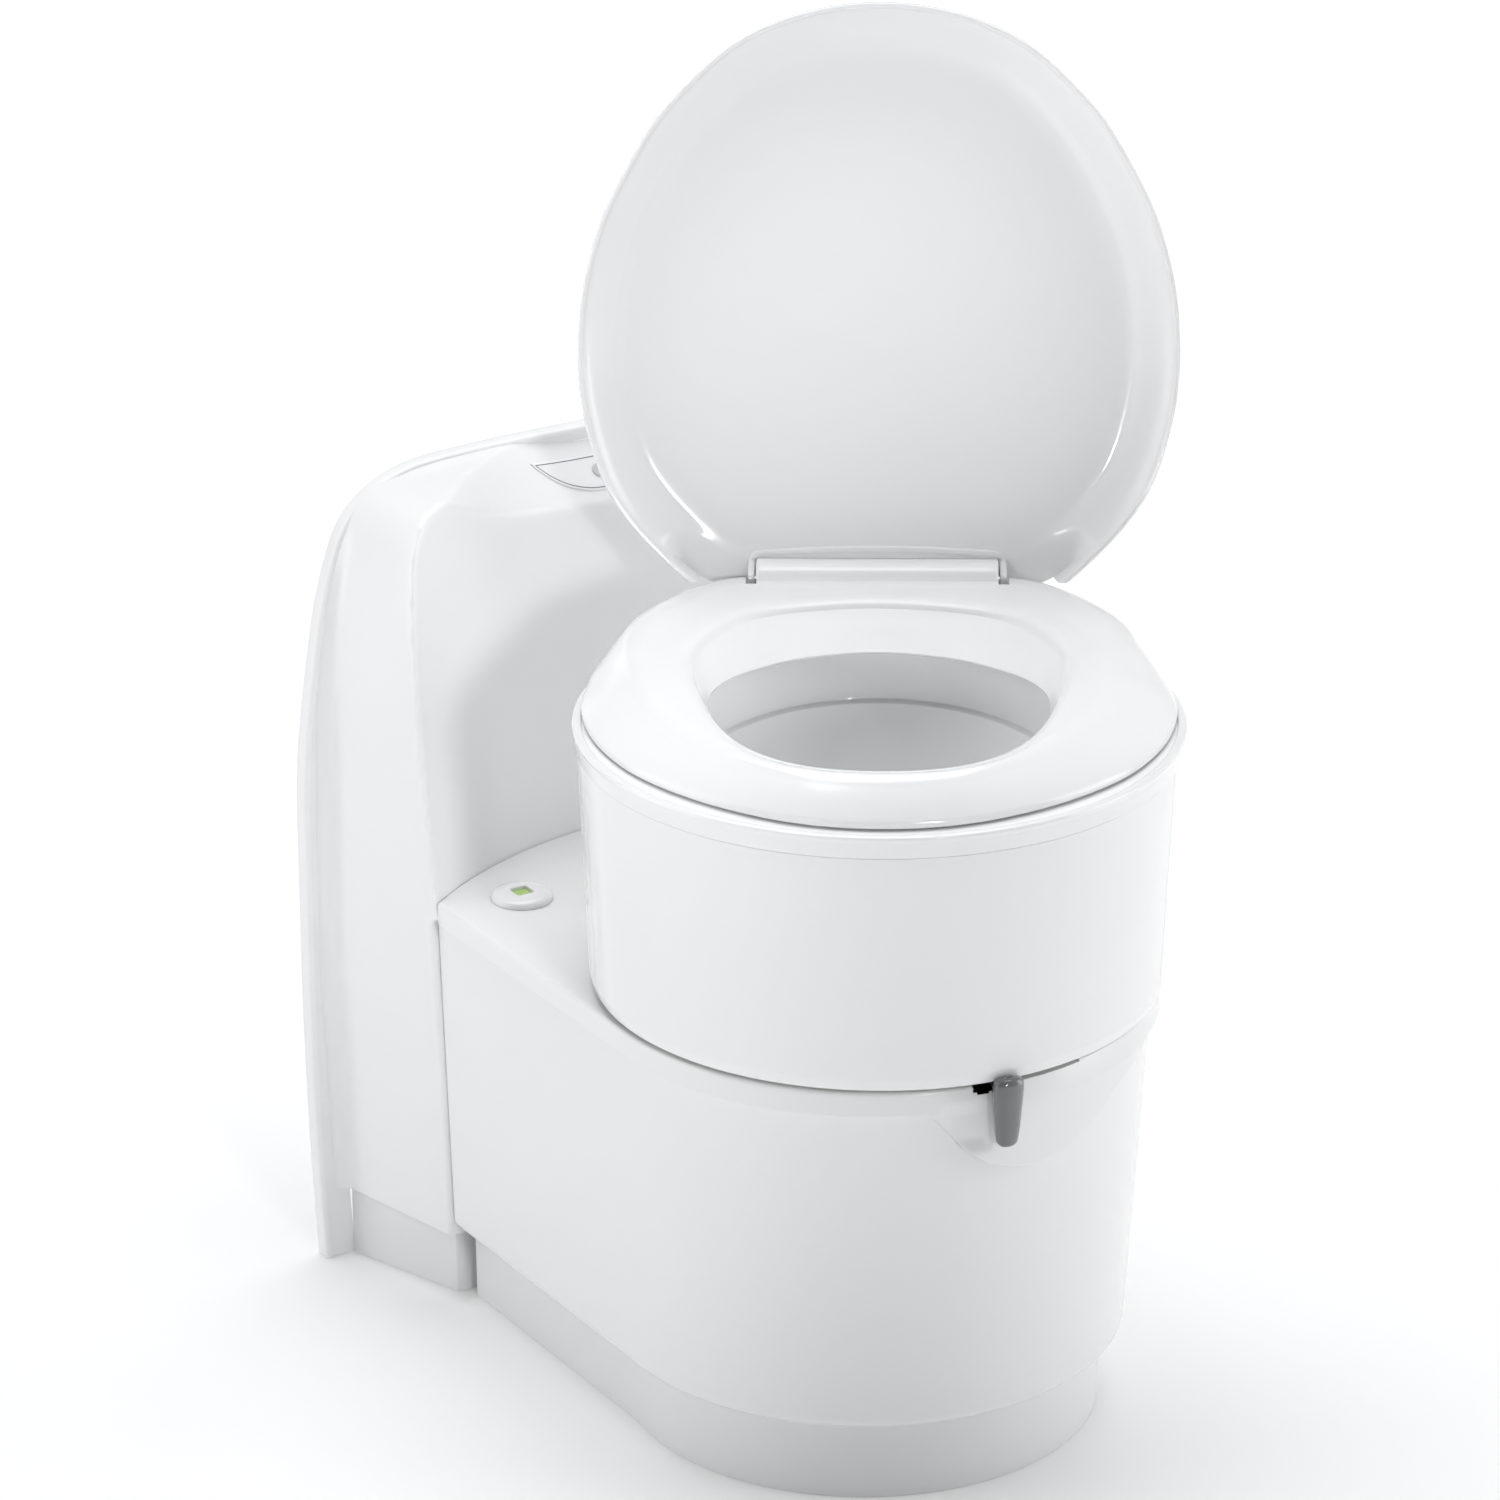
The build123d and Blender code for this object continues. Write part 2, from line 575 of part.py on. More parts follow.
# inner bowl: rim plate, stepped basin and outlet pipe
BASIN = [(462.4, -16, 120, 134), (428, -15, 116, 129), (428, -15, 112, 125), (380, -10, 98, 105), (340, -2, 60, 64), (322, 0, 41, 41)]
with BuildPart() as inner_bowl:
    with BuildSketch(bowl_plane(459.4)):
        with Locations((0, BOWL_Y)):
            Circle(181.1)
    extrude(amount=3.0)
    for (z0, c0, a0, b0), (z1, c1, a1, b1) in zip(BASIN[:-1], BASIN[1:]):
        if z0 - z1 < 1:
            continue
        for z, c, p, q in ((z0, c0, a0 + 3, b0 + 3), (z1 - 0.0, c1, a1 + 3, b1 + 3)):
            with BuildSketch(bowl_plane(z)):
                with Locations((0, c)):
                    Ellipse(p, q)
        loft()
    # step half way down the basin
    with BuildSketch(bowl_plane(425)):
        with Locations((0, -15)):
            Ellipse(119, 132)
    extrude(amount=3)
    with BuildSketch(bowl_plane(240.4)):
        Circle(44)
    extrude(amount=84)
    for (z0, c0, a0, b0), (z1, c1, a1, b1) in zip(BASIN[:-1], BASIN[1:]):
        if z0 - z1 < 1:
            continue
        for z, c, p, q in ((z0 + (0.1 if z0 > 460 else 0), c0, a0, b0), (z1, c1, a1, b1)):
            with BuildSketch(bowl_plane(z)):
                with Locations((0, c)):
                    Ellipse(p, q)
        loft(mode=Mode.SUBTRACT)
    with BuildSketch(bowl_plane(240)):
        Circle(41)
    extrude(amount=82.2, mode=Mode.SUBTRACT)
inner_bowl.part.label = "inner_bowl"
export_step(inner_bowl.part, "parts/inner_bowl.step")

# flush nozzle under the front of the rim
with BuildPart() as flush_nozzle:
    with BuildSketch(bowl_plane(440)):
        with Locations((0, -138.2)):
            Rectangle(46, 10)
    extrude(amount=10)
    with BuildSketch(bowl_plane(445)):
        with Locations((0, -133.2)):
            Rectangle(38, 10)
    extrude(amount=2.4, mode=Mode.SUBTRACT)
flush_nozzle.part.label = "flush_nozzle"
export_step(flush_nozzle.part, "parts/flush_nozzle.step")

# hinge posts on the rim, and the rod they hold
with BuildPart() as hinge_posts:
    for x in (-55.7, 44.3):
        with BuildSketch(side_plane(x)):
            with BuildLine():
                Polyline((158.6, 462.4), (168.8, 462.4), (183.2, 480.5), (HINGE_Y, HINGE_Z), (166.2, 482), close=True)
            make_face()
            with Locations((HINGE_Y, HINGE_Z)):
                Circle(9.0)
                Circle(ROD_R, mode=Mode.SUBTRACT)
        extrude(amount=11.4)
hinge_posts.part.label = "hinge_posts"
export_step(hinge_posts.part, "parts/hinge_posts.step")

with BuildPart() as hinge_rod:
    with BuildSketch(side_plane(-81.2)):
        with Locations((HINGE_Y, HINGE_Z)):
            Circle(ROD_R)
    extrude(amount=162.4)
hinge_rod.part.label = "hinge_rod"
export_step(hinge_rod.part, "parts/hinge_rod.step")

# ================================================================ seat
SEAT_BASE = [(0, -179), (36, -175), (70.5, -162), (110, -136), (145, -100), (166, -62), (177, -28), (182, 5), (180, 28), (174, 58), (165, 88), (155, 114), (140, 141), (126, 158), (113, 171), (98, 179), (82, 181.5)]
SEAT_CREST = [(0, -162), (30, -158.5), (57, -149), (94, -120), (120, -87), (140, -48), (150, -15), (153, 5), (154.5, 28), (157, 55), (154, 85), (147, 110), (133, 137), (120, 154), (108, 167), (96, 175), (82, 177.5)]
HOLE_TOP = [(0, -143), (40, -137), (70, -117), (92, -80), (106, -30), (113, 15), (112, 50), (100, 83), (80, 107), (52, 122), (0, 130)]
HOLE_LOW = [(0, -128), (38, -122), (66, -103), (86, -70), (99, -28), (104, 5), (102, 28), (92, 50), (74, 68), (46, 86), (0, 96)]
with BuildPart() as seat:
    for z, pts in ((SEAT_LOW, SEAT_BASE), (SEAT_TOP, SEAT_CREST)):
        with BuildSketch(bowl_plane(z)):
            with BuildLine():
                Spline(*([(-x, y) for x, y in reversed(pts)] + pts[1:]))
                Line(pts[-1], (-pts[-1][0], pts[-1][1]))
            make_face()
    loft()
    # gap at the rear for the lid's arms, with the barrel round the hinge rod inside it
    with BuildSketch(side_plane(-84.0)):
        with BuildLine():
            Polyline((161.2, 455), (200, 455), (200, 500), (161.2, 500), close=True)
        make_face()
    extrude(amount=168.0, mode=Mode.SUBTRACT)
    with BuildSketch(side_plane(-76.0)):
        with Locations((HINGE_Y, HINGE_Z)):
            Circle(13.8)
        with BuildLine():
            Polyline((155, SEAT_LOW + 0.2), (168, SEAT_LOW + 0.2), (HINGE_Y, HINGE_Z - 13.8), (HINGE_Y, HINGE_Z), (161.2, HINGE_Z),
                     (161.2, 487.0), (155, 487.0), close=True)
        make_face()
    extrude(amount=152.0)
    for z0, p0, z1, p1 in ((SEAT_LOW - 0.1, HOLE_LOW, SEAT_TOP + 0.1, HOLE_TOP),):
        for z, pts in ((z0, p0), (z1, p1)):
            with BuildSketch(bowl_plane(z)):
                with BuildLine():
                    Spline(*(pts + [(-x, y) for x, y in reversed(pts[1:-1])]), periodic=True)
                make_face()
        loft(mode=Mode.SUBTRACT)
    # room for the posts and the rod
    for x in (-56.4, 43.6):
        with BuildSketch(side_plane(x)):
            with BuildLine():
                Polyline((157.4, 460), (205, 460), (205, HINGE_Z + 10.3), (HINGE_Y, HINGE_Z), (HINGE_Y - 12.4, 479), (157.4, 471), close=True)
            make_face()
            with Locations((HINGE_Y, HINGE_Z)):
                Circle(10.8)
        extrude(amount=12.8, mode=Mode.SUBTRACT)
    with BuildSketch(side_plane(-90)):
        with Locations((HINGE_Y, HINGE_Z)):
            Circle(ROD_R + RUN)
    extrude(amount=180, mode=Mode.SUBTRACT)
seat.part.label = "seat"
export_step(seat.part, "parts/seat.step")

with BuildPart() as seat_bumpers:
    with BuildSketch(bowl_plane(COLLAR_TOP - 0.4)):
        with Locations((-135, -70), (135, -70), (-140, 60), (140, 60)):
            Circle(7)
    extrude(amount=SEAT_LOW - COLLAR_TOP + 0.4)
seat_bumpers.part.label = "seat_bumpers"
export_step(seat_bumpers.part, "parts/seat_bumpers.step")

# ================================================================ lid, open
LID = [(104, -9), (115, -3), (123, 5), (135, 16), (151, 33), (164.5, 50), (174, 68), (185, 108), (188, 131), (188, 160), (184, 196), (172, 237), (163, 255), (143, 291), (129, 308.5), (98.5, 338), (80.5, 349.5), (44.5, 363), (0, 368.5)]


def lid_outline(full_inset):
    cx, cy = 0.0, 168.0
    out = []
    for x, y in LID:
        # the sloped inner wall is narrower towards the hinge
        inset = full_inset if full_inset < 20 else full_inset - 7 * min(max((110 - y) / 70, 0), 1)
        d = sqrt((x - cx) ** 2 + (y - cy) ** 2)
        out.append((cx + (x - cx) * (1 - inset / d), cy + (y - cy) * (1 - inset / d)))
    return out


with BuildPart() as lid:
    for (n0, i0), (n1, i1) in (((12.0, 0.0), (-9.0, 3.0)), ((-9.0, 3.0), (-13.0, 16.0))):
        for n, i in ((n0, i0), (n1, i1)):
            pts = lid_outline(i)
            with BuildSketch(lid_plane(n)):
                with BuildLine():
                    Spline(*(pts + [(-x, y) for x, y in reversed(pts[:-1])]))
                    Line(pts[0], (-pts[0][0], pts[0][1]))
                make_face()
        loft()
    for n, i in ((12.1, 3.2), (-9.4, 24.0)):
        pts = lid_outline(i)
        with BuildSketch(lid_plane(n)):
            with BuildLine():
                Spline(*(pts + [(-x, y) for x, y in reversed(pts[:-1])]))
                Line(pts[0], (-pts[0][0], pts[0][1]))
            make_face()
    loft(mode=Mode.SUBTRACT)
    # notch round the hinge barrel, then its raised edge and arms
    with BuildSketch(lid_plane(13)):
        with Locations((0, -6)):
            Rectangle(154.4, 38.6)
    extrude(amount=-30, mode=Mode.SUBTRACT)
    with BuildSketch(lid_plane(13)):
        with Locations((0, -8)):
            Rectangle(262, 30)
    extrude(amount=-22, mode=Mode.SUBTRACT)
    # room for the seat's rear corners beside the barrel
    with BuildSketch(lid_plane(13)):
        with Locations((-113, 12), (113, 12)):
            Rectangle(26, 25)
    extrude(amount=-19.2, mode=Mode.SUBTRACT)
    with BuildSketch(lid_plane(-12.4)):
        with Locations((0, 16.4)):
            Rectangle(163, 6.2)
        with Locations((-79.5, 8), (79.5, 8)):
            Rectangle(4.0, 22)
    extrude(amount=7.4)
    for x in (-81.5, 77.5):
        with BuildSketch(side_plane(x)):
            with Locations((HINGE_Y, HINGE_Z)):
                Circle(8)
            with BuildLine():
                Polyline((HINGE_Y - 3, HINGE_Z + 3), (HINGE_Y + 6, HINGE_Z + 13), (HINGE_Y + 14, HINGE_Z + 12), (HINGE_Y + 12, HINGE_Z - 2), (HINGE_Y, HINGE_Z - 4), close=True)
            make_face()
        extrude(amount=4.0)
    with BuildSketch(side_plane(-82)):
        with Locations((HINGE_Y, HINGE_Z)):
            Circle(ROD_R + RUN)
    extrude(amount=164, mode=Mode.SUBTRACT)
lid.part.label = "lid"
export_step(lid.part, "parts/lid.step")

# ================================================================ blade lever
LA = radians(LEVER_AT - 90)
LEVER_DIR = (cos(LA), sin(LA), 0)
LEVER_ACROSS = (-sin(LA), cos(LA), 0)
with BuildPart() as lever_sector:
    with BuildSketch(Plane.XY.offset(246.3)):
        Circle(77.7)
        with BuildLine():
            w = 9
            Polyline((60 * cos(LA) - w * sin(LA), 60 * sin(LA) + w * cos(LA)), (156.5 * cos(LA) - 5 * sin(LA), 156.5 * sin(LA) + 5 * cos(LA)),
                     (156.5 * cos(LA) + 5 * sin(LA), 156.5 * sin(LA) - 5 * cos(LA)), (60 * cos(LA) + w * sin(LA), 60 * sin(LA) - w * cos(LA)), close=True)
        make_face()
        for k in range(-2, 7):
            with BuildLine():
                Polyline(*tooth(SECTOR_TEETH, MODULE, 90 - 4.5 * k), close=True)
            make_face()
        Circle(52, mode=Mode.SUBTRACT)
    extrude(amount=4.2)
    # riser to the slot, and the arm through it
    with BuildSketch(Plane(origin=(0, 0, 250), x_dir=LEVER_DIR, z_dir=(0, 0, 1))):
        with Locations((154.0, 0)):
            Rectangle(5, 10)
    extrude(amount=42.2)
    with BuildSketch(Plane(origin=(0, 0, 289.4), x_dir=LEVER_DIR, z_dir=(0, 0, 1))):
        with Locations((166.0, 0)):
            Rectangle(28, 10)
    extrude(amount=2.8)
lever_sector.part.label = "lever_sector"
export_step(lever_sector.part, "parts/lever_sector.step")

# the grip that hangs outside
with BuildPart() as blade_lever:
    for z, w, t0, t1 in ((254.3, 13.4, 180.6, 187.0), (293.0, 18.8, 180.0, 190.4)):
        with BuildSketch(Plane(origin=(0, 0, z), x_dir=LEVER_DIR, z_dir=(0, 0, 1))):
            with Locations(((t0 + t1) / 2, 0)):
                RectangleRounded(t1 - t0, w, 2.8)
    loft()
    with BuildSketch(Plane(origin=(0, 0, 293), x_dir=LEVER_DIR, z_dir=(0, 0, 1))):
        with Locations((185.2, 0)):
            RectangleRounded(10.4, 18.8, 2.8)
    extrude(amount=7.4, taper=20)
blade_lever.part.label = "blade_lever"
export_step(blade_lever.part, "parts/blade_lever.step")

# ================================================================ waste tank
TANK_TOP = 232.0
WHEEL_X, WHEEL_Y, WHEEL_Z = 104.0, -70.0, 73.0
with BuildPart() as tank_hollow:
    with BuildSketch(Plane.XY.offset(69.2)):
        with BuildLine():
            Line((146.8, 14), (146.8, 308.8))
            Line((146.8, 308.8), (-146.8, 308.8))
            Line((-146.8, 308.8), (-146.8, 14))
            ThreePointArc((-146.8, 14), (0, 14 - 146.8), (146.8, 14))
        make_face()
    extrude(amount=TANK_TOP - 4 - 69.2)
    with Locations((-118.4, WHEEL_Y, 80), (118.4, WHEEL_Y, 80)):
        Box(63.2, 42.4, 30.4, mode=Mode.SUBTRACT)

with BuildPart() as waste_tank:
    with BuildSketch(Plane.XY.offset(66)):
        with BuildLine():
            Line((150, 14), (150, 312))
            Line((150, 312), (-150, 312))
            Line((-150, 312), (-150, 14))
            ThreePointArc((-150, 14), (0, -136), (150, 14))
        make_face()
    extrude(amount=TANK_TOP - 66)
    fillet(waste_tank.edges().filter_by(Axis.Z).sort_by(Axis.Y)[-2:], radius=14)
    fillet(waste_tank.faces().sort_by(Axis.Z)[0].edges(), radius=5)
    with Locations((-120, WHEEL_Y, 77), (120, WHEEL_Y, 77)):
        Box(60, 36, 30, mode=Mode.SUBTRACT)
    add(tank_hollow.part, mode=Mode.SUBTRACT)
    # skids under the rear
    with BuildSketch(Plane.XY.offset(60.8)):
        with Locations((-120, 262), (120, 262)):
            Rectangle(12, 60)
    extrude(amount=6)
    # neck, spindle hole, gauge hole
    with BuildSketch(Plane.XY.offset(TANK_TOP)):
        Circle(54)
    extrude(amount=4)
    with BuildSketch(Plane.XY.offset(220)):
        Circle(42)
        with Locations((0, PINION_Y)):
            Circle(9)
        with Locations((-127.5, 218)):
            Circle(13)
    extrude(amount=20, mode=Mode.SUBTRACT)
    # socket for the spout and hole for the vent plunger, in the rear face
    with BuildSketch(Plane.XZ.offset(-312)):
        with Locations((-80, 172)):
            Circle(29)
    extrude(amount=-8)
    with BuildSketch(Plane.XZ.offset(-300)):
        with Locations((-80, 172)):
            Circle(24)
        with Locations((95, 205)):
            Circle(8.0)
    extrude(amount=-30, mode=Mode.SUBTRACT)
waste_tank.part.label = "waste_tank"
export_step(waste_tank.part, "parts/waste_tank.step")

# recessed carrying handle on the tank's rear face
with BuildPart() as tank_handle:
    with BuildSketch(Plane.XZ.offset(-312)):
        with Locations((22, 100), (118, 100)):
            Rectangle(12, 20)
    extrude(amount=-26)
    with BuildSketch(Plane.XZ.offset(-334)):
        with Locations((70, 100)):
            RectangleRounded(114, 24, 5)
    extrude(amount=-12)
tank_handle.part.label = "tank_handle"
export_step(tank_handle.part, "parts/tank_handle.step")

with BuildPart() as lip_seal:
    with BuildSketch(Plane.XY.offset(TANK_TOP + 4)):
        Circle(51)
        Circle(42, mode=Mode.SUBTRACT)
    extrude(amount=4.0)
lip_seal.part.label = "lip_seal"
export_step(lip_seal.part, "parts/lip_seal.step")

with BuildPart() as blade_seal:
    with BuildSketch(Plane.XY.offset(226.6)):
        Circle(46)
        Circle(42, mode=Mode.SUBTRACT)
    extrude(amount=1.4)
blade_seal.part.label = "blade_seal"
export_step(blade_seal.part, "parts/blade_seal.step")

with BuildPart() as spindle_bush:
    with BuildSketch(Plane.XY.offset(226.8)):
        with Locations((0, PINION_Y)):
            Circle(9)
    extrude(amount=TANK_TOP - 226.8)
    with BuildSketch(Plane.XY.offset(TANK_TOP)):
        with Locations((0, PINION_Y)):
            Circle(12)
    extrude(amount=3)
    with BuildSketch(Plane.XY.offset(220)):
        with Locations((0, PINION_Y)):
            Circle(5 + RUN)
    extrude(amount=20, mode=Mode.SUBTRACT)
spindle_bush.part.label = "spindle_bush"
export_step(spindle_bush.part, "parts/spindle_bush.step")

with BuildPart() as gauge_lens:
    with BuildSketch(Plane.XY.offset(229)):
        with Locations((-127.5, 218)):
            Circle(13)
    extrude(amount=2.6)
gauge_lens.part.label = "gauge_lens"
export_step(gauge_lens.part, "parts/gauge_lens.step")

with BuildPart() as wheel_pins:
    with BuildSketch(Plane.YZ.offset(90)):
        with Locations((WHEEL_Y, WHEEL_Z)):
            Circle(3)
    extrude(amount=23)
    with BuildSketch(Plane.YZ.offset(-113)):
        with Locations((WHEEL_Y, WHEEL_Z)):
            Circle(3)
    extrude(amount=23)
wheel_pins.part.label = "wheel_pins"
export_step(wheel_pins.part, "parts/wheel_pins.step")

with BuildPart() as tank_wheels:
    for x in (WHEEL_X - 8, -WHEEL_X - 6):
        with BuildSketch(Plane.YZ.offset(x)):
            with Locations((WHEEL_Y, WHEEL_Z)):
                Circle(12)
                Circle(3 + RUN, mode=Mode.SUBTRACT)
        extrude(amount=14)
tank_wheels.part.label = "tank_wheels"
export_step(tank_wheels.part, "parts/tank_wheels.step")

# bracket and float of the level gauge
with BuildPart() as float_bracket:
    for x in (-146.0, -114.0):
        with BuildSketch(Plane.YZ.offset(x)):
            with Locations((218, 219)):
                Rectangle(16, 18)
            with Locations((218, 210)):
                Circle(8)
                Circle(2.5 + RUN, mode=Mode.SUBTRACT)
        extrude(amount=3.0)
float_bracket.part.label = "float_bracket"
export_step(float_bracket.part, "parts/float_bracket.step")

with BuildPart() as level_float:
    with BuildSketch(Plane.YZ.offset(-145.6)):
        with Locations((218, 210)):
            Circle(2.5)
    extrude(amount=34)
    with BuildSketch(Plane.YZ.offset(-141.5)):
        with Locations((218, 210)):
            Circle(15)
    extrude(amount=26)
    with BuildSketch(Plane.YZ.offset(-131)):
        with BuildLine():
            Polyline((212, 214), (135, 118), (141, 113), (220, 206), close=True)
        make_face()
    extrude(amount=5)
    with Locations((-128.5, 130, 112)):
        Box(28, 40, 26)
level_float.part.label = "level_float"
export_step(level_float.part, "parts/level_float.step")

# sliding valve blade and its spindle with pinion
with BuildPart() as valve_blade:
    with BuildSketch(Plane.XY.offset(222.3)):
        Circle(47)
        with BuildLine():
            Polyline((-30, 20), (-11, PINION_Y), (11, PINION_Y), (30, 20), close=True)
        make_face()
        with Locations((0, PINION_Y)):
            Circle(13)
            Circle(5, mode=Mode.SUBTRACT)
    extrude(amount=4.0)
valve_blade.part.label = "valve_blade"
export_step(valve_blade.part, "parts/valve_blade.step")

with BuildPart() as blade_spindle:
    with BuildSketch(Plane.XY.offset(219)):
        with Locations((0, PINION_Y)):
            Circle(5)
    extrude(amount=32)
    with BuildSketch(Plane.XY.offset(219)):
        with Locations((0, PINION_Y)):
            Circle(8)
    extrude(amount=3.2)
    with BuildSketch(Plane(origin=(0, PINION_Y, 246.4), x_dir=(1, 0, 0), z_dir=(0, 0, 1))):
        Circle(MODULE * PINION_TEETH / 2 - 1.2 * MODULE)
        for k in range(PINION_TEETH):
            with BuildLine():
                Polyline(*tooth(PINION_TEETH, MODULE, -90 + 11.25 + 22.5 * k), close=True)
            make_face()
    extrude(amount=4.0)
blade_spindle.part.label = "blade_spindle"
export_step(blade_spindle.part, "parts/blade_spindle.step")

# swinging pour-out spout and its cap
with BuildPart() as pour_spout:
    with BuildSketch(Plane.XZ.offset(-306)):
        with Locations((-80, 172)):
            Circle(24 - RUN)
    extrude(amount=-16)
    with BuildSketch(Plane.XZ.offset(-320.3)):
        with Locations((-80, 172)):
            Circle(24 - RUN)
    extrude(amount=-34)
    with BuildSketch(Plane.YZ.offset(-80)):
        with Locations((337.3, 172)):
            Circle(17)
    extrude(amount=104)
    with BuildSketch(Plane.XZ.offset(-300)):
        with Locations((-80, 172)):
            Circle(19)
    extrude(amount=-48, mode=Mode.SUBTRACT)
    with BuildSketch(Plane.YZ.offset(-80)):
        with Locations((337.3, 172)):
            Circle(14)
    extrude(amount=110, mode=Mode.SUBTRACT)
pour_spout.part.label = "pour_spout"
export_step(pour_spout.part, "parts/pour_spout.step")

with BuildPart() as spout_cap:
    with BuildSketch(Plane.YZ.offset(12)):
        with Locations((337.3, 172)):
            Circle(19.6)
    extrude(amount=16)
    with BuildSketch(Plane.YZ.offset(10)):
        with Locations((337.3, 172)):
            Circle(17 + RUN)
    extrude(amount=14.2, mode=Mode.SUBTRACT)
    with BuildSketch(Plane.YZ.offset(14)):
        with Locations((337.3, 172)):
            with PolarLocations(19.8, 12):
                Rectangle(1.4, 3)
    extrude(amount=12)
spout_cap.part.label = "spout_cap"
export_step(spout_cap.part, "parts/spout_cap.step")

with BuildPart() as vent_button:
    with BuildSketch(Plane.XZ.offset(-304)):
        with Locations((95, 205)):
            Circle(8 - RUN)
    extrude(amount=-18)
    with BuildSketch(Plane.XZ.offset(-317)):
        with Locations((95, 205)):
            Circle(11)
    extrude(amount=-6)
vent_button.part.label = "vent_button"
export_step(vent_button.part, "parts/vent_button.step")
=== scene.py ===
import bpy, bmesh, json
import numpy as np
from math import sin, cos, tan, radians, pi, sqrt, atan2, hypot
from mathutils import Vector, Matrix


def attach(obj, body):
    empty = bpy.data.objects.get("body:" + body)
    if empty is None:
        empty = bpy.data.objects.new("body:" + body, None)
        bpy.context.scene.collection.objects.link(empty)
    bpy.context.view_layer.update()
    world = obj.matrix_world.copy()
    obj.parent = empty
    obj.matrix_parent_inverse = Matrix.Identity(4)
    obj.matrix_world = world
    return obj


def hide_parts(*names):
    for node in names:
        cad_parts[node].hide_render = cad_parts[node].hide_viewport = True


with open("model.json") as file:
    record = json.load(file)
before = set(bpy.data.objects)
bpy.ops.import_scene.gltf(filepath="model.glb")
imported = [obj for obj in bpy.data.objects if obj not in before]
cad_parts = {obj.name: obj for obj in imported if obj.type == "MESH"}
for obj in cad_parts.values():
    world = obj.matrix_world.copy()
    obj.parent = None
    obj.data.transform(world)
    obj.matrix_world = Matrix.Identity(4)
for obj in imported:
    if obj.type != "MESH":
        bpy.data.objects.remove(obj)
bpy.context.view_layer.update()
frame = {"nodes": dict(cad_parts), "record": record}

NODES = frame["nodes"]
MM = 0.001
T = radians(32.4)
LEAN = radians(8.0)
HY, HZ = 175.0, 484.0


# ------------------------------------------------------------------ helpers
def turned(p):
    """from the bowl's own directions to the frame, mm"""
    p = np.asarray(p, float)
    out = p.copy()
    out[..., 0] = p[..., 0] * cos(T) + p[..., 1] * sin(T)
    out[..., 1] = -p[..., 0] * sin(T) + p[..., 1] * cos(T)
    return out


def lid_space(p):
    """lid coordinates (across, up the lid, towards the seat) to the frame, mm"""
    p = np.asarray(p, float)
    x, v, n = p[..., 0], p[..., 1], p[..., 2]
    q = np.stack([x, HY + v * sin(LEAN) - n * cos(LEAN), HZ + v * cos(LEAN) + n * sin(LEAN)], -1)
    return turned(q)


def make(name, verts, faces, sharp=32.0):
    me = bpy.data.meshes.new(name)
    me.from_pydata([tuple(v) for v in np.asarray(verts, float) * MM], [], faces)
    me.update()
    for p in me.polygons:
        p.use_smooth = True
    me.set_sharp_from_angle(angle=radians(sharp))
    o = bpy.data.objects.new(name, me)
    bpy.context.scene.collection.objects.link(o)
    return o


def grid_faces(m, n, close_u, close_v, base=0):
    """faces of a grid of m rings with n points; u runs round a ring, v from ring to ring"""
    f = []
    for i in range(m if close_v else m - 1):
        for j in range(n if close_u else n - 1):
            a = base + i * n + j
            b = base + i * n + (j + 1) % n
            c = base + ((i + 1) % m) * n + (j + 1) % n
            d = base + ((i + 1) % m) * n + j
            f.append((a, b, c, d))
    return f


def rings(name, grid, close_u=True, close_v=False, cap=(False, False), sharp=32.0):
    grid = np.asarray(grid, float)
    m, n, _ = grid.shape
    f = grid_faces(m, n, close_u, close_v)
    if cap[0]:
        f.append(tuple(range(n))[::-1])
    if cap[1]:
        f.append(tuple(range((m - 1) * n, m * n)))
    o = make(name, grid.reshape(-1, 3), f, sharp)
    fix_normals(o)
    return o


def swept(name, grid, sharp=32.0):
    """closed profile swept along an open path: rings are the profile, ends are closed"""
    return rings(name, grid, True, False, (True, True), sharp)


def fix_normals(o):
    bm = bmesh.new()
    bm.from_mesh(o.data)
    bmesh.ops.recalc_face_normals(bm, faces=bm.faces)
    bm.to_mesh(o.data)
    bm.free()


def outward(o, centre):
    """turns an open sheet's faces away from a point"""
    c = Vector(centre) * MM
    s = sum((p.center - c).dot(p.normal) * p.area for p in o.data.polygons)
    if s < 0:
        o.data.flip_normals()


def applied(o):
    bpy.context.view_layer.update()
    dg = bpy.context.evaluated_depsgraph_get()
    me = bpy.data.meshes.new_from_object(o.evaluated_get(dg))
    o.modifiers.clear()
    old = o.data
    o.data = me
    if old.users == 0:
        bpy.data.meshes.remove(old)
    return o


def boolean(o, cutter, op="DIFFERENCE"):
    m = o.modifiers.new("cut", "BOOLEAN")
    m.operation = op
    m.solver = "EXACT"
    m.object = cutter
    applied(o)
    bpy.data.objects.remove(cutter)
    return o


def smooth_all(o, sharp=32.0):
    for p in o.data.polygons:
        p.use_smooth = True
    o.data.set_sharp_from_angle(angle=radians(sharp))
    return o


def shell(o, thick, offset=-1.0):
    m = o.modifiers.new("wall", "SOLIDIFY")
    m.thickness = thick * MM
    m.offset = offset
    m.use_even_offset = True
    return applied(o)


def bevel(o, width, seg=3, angle=35.0):
    m = o.modifiers.new("soft_edge", "BEVEL")
    m.width = width * MM
    m.segments = seg
    m.limit_method = "ANGLE"
    m.angle_limit = radians(angle)
    m.harden_normals = False
    return applied(o)


def remesh(o, size, passes=8, factor=0.5):
    m = o.modifiers.new("remesh", "REMESH")
    m.mode = "VOXEL"
    m.voxel_size = size * MM
    s = o.modifiers.new("smooth", "SMOOTH")
    s.factor = factor
    s.iterations = passes
    return applied(o)


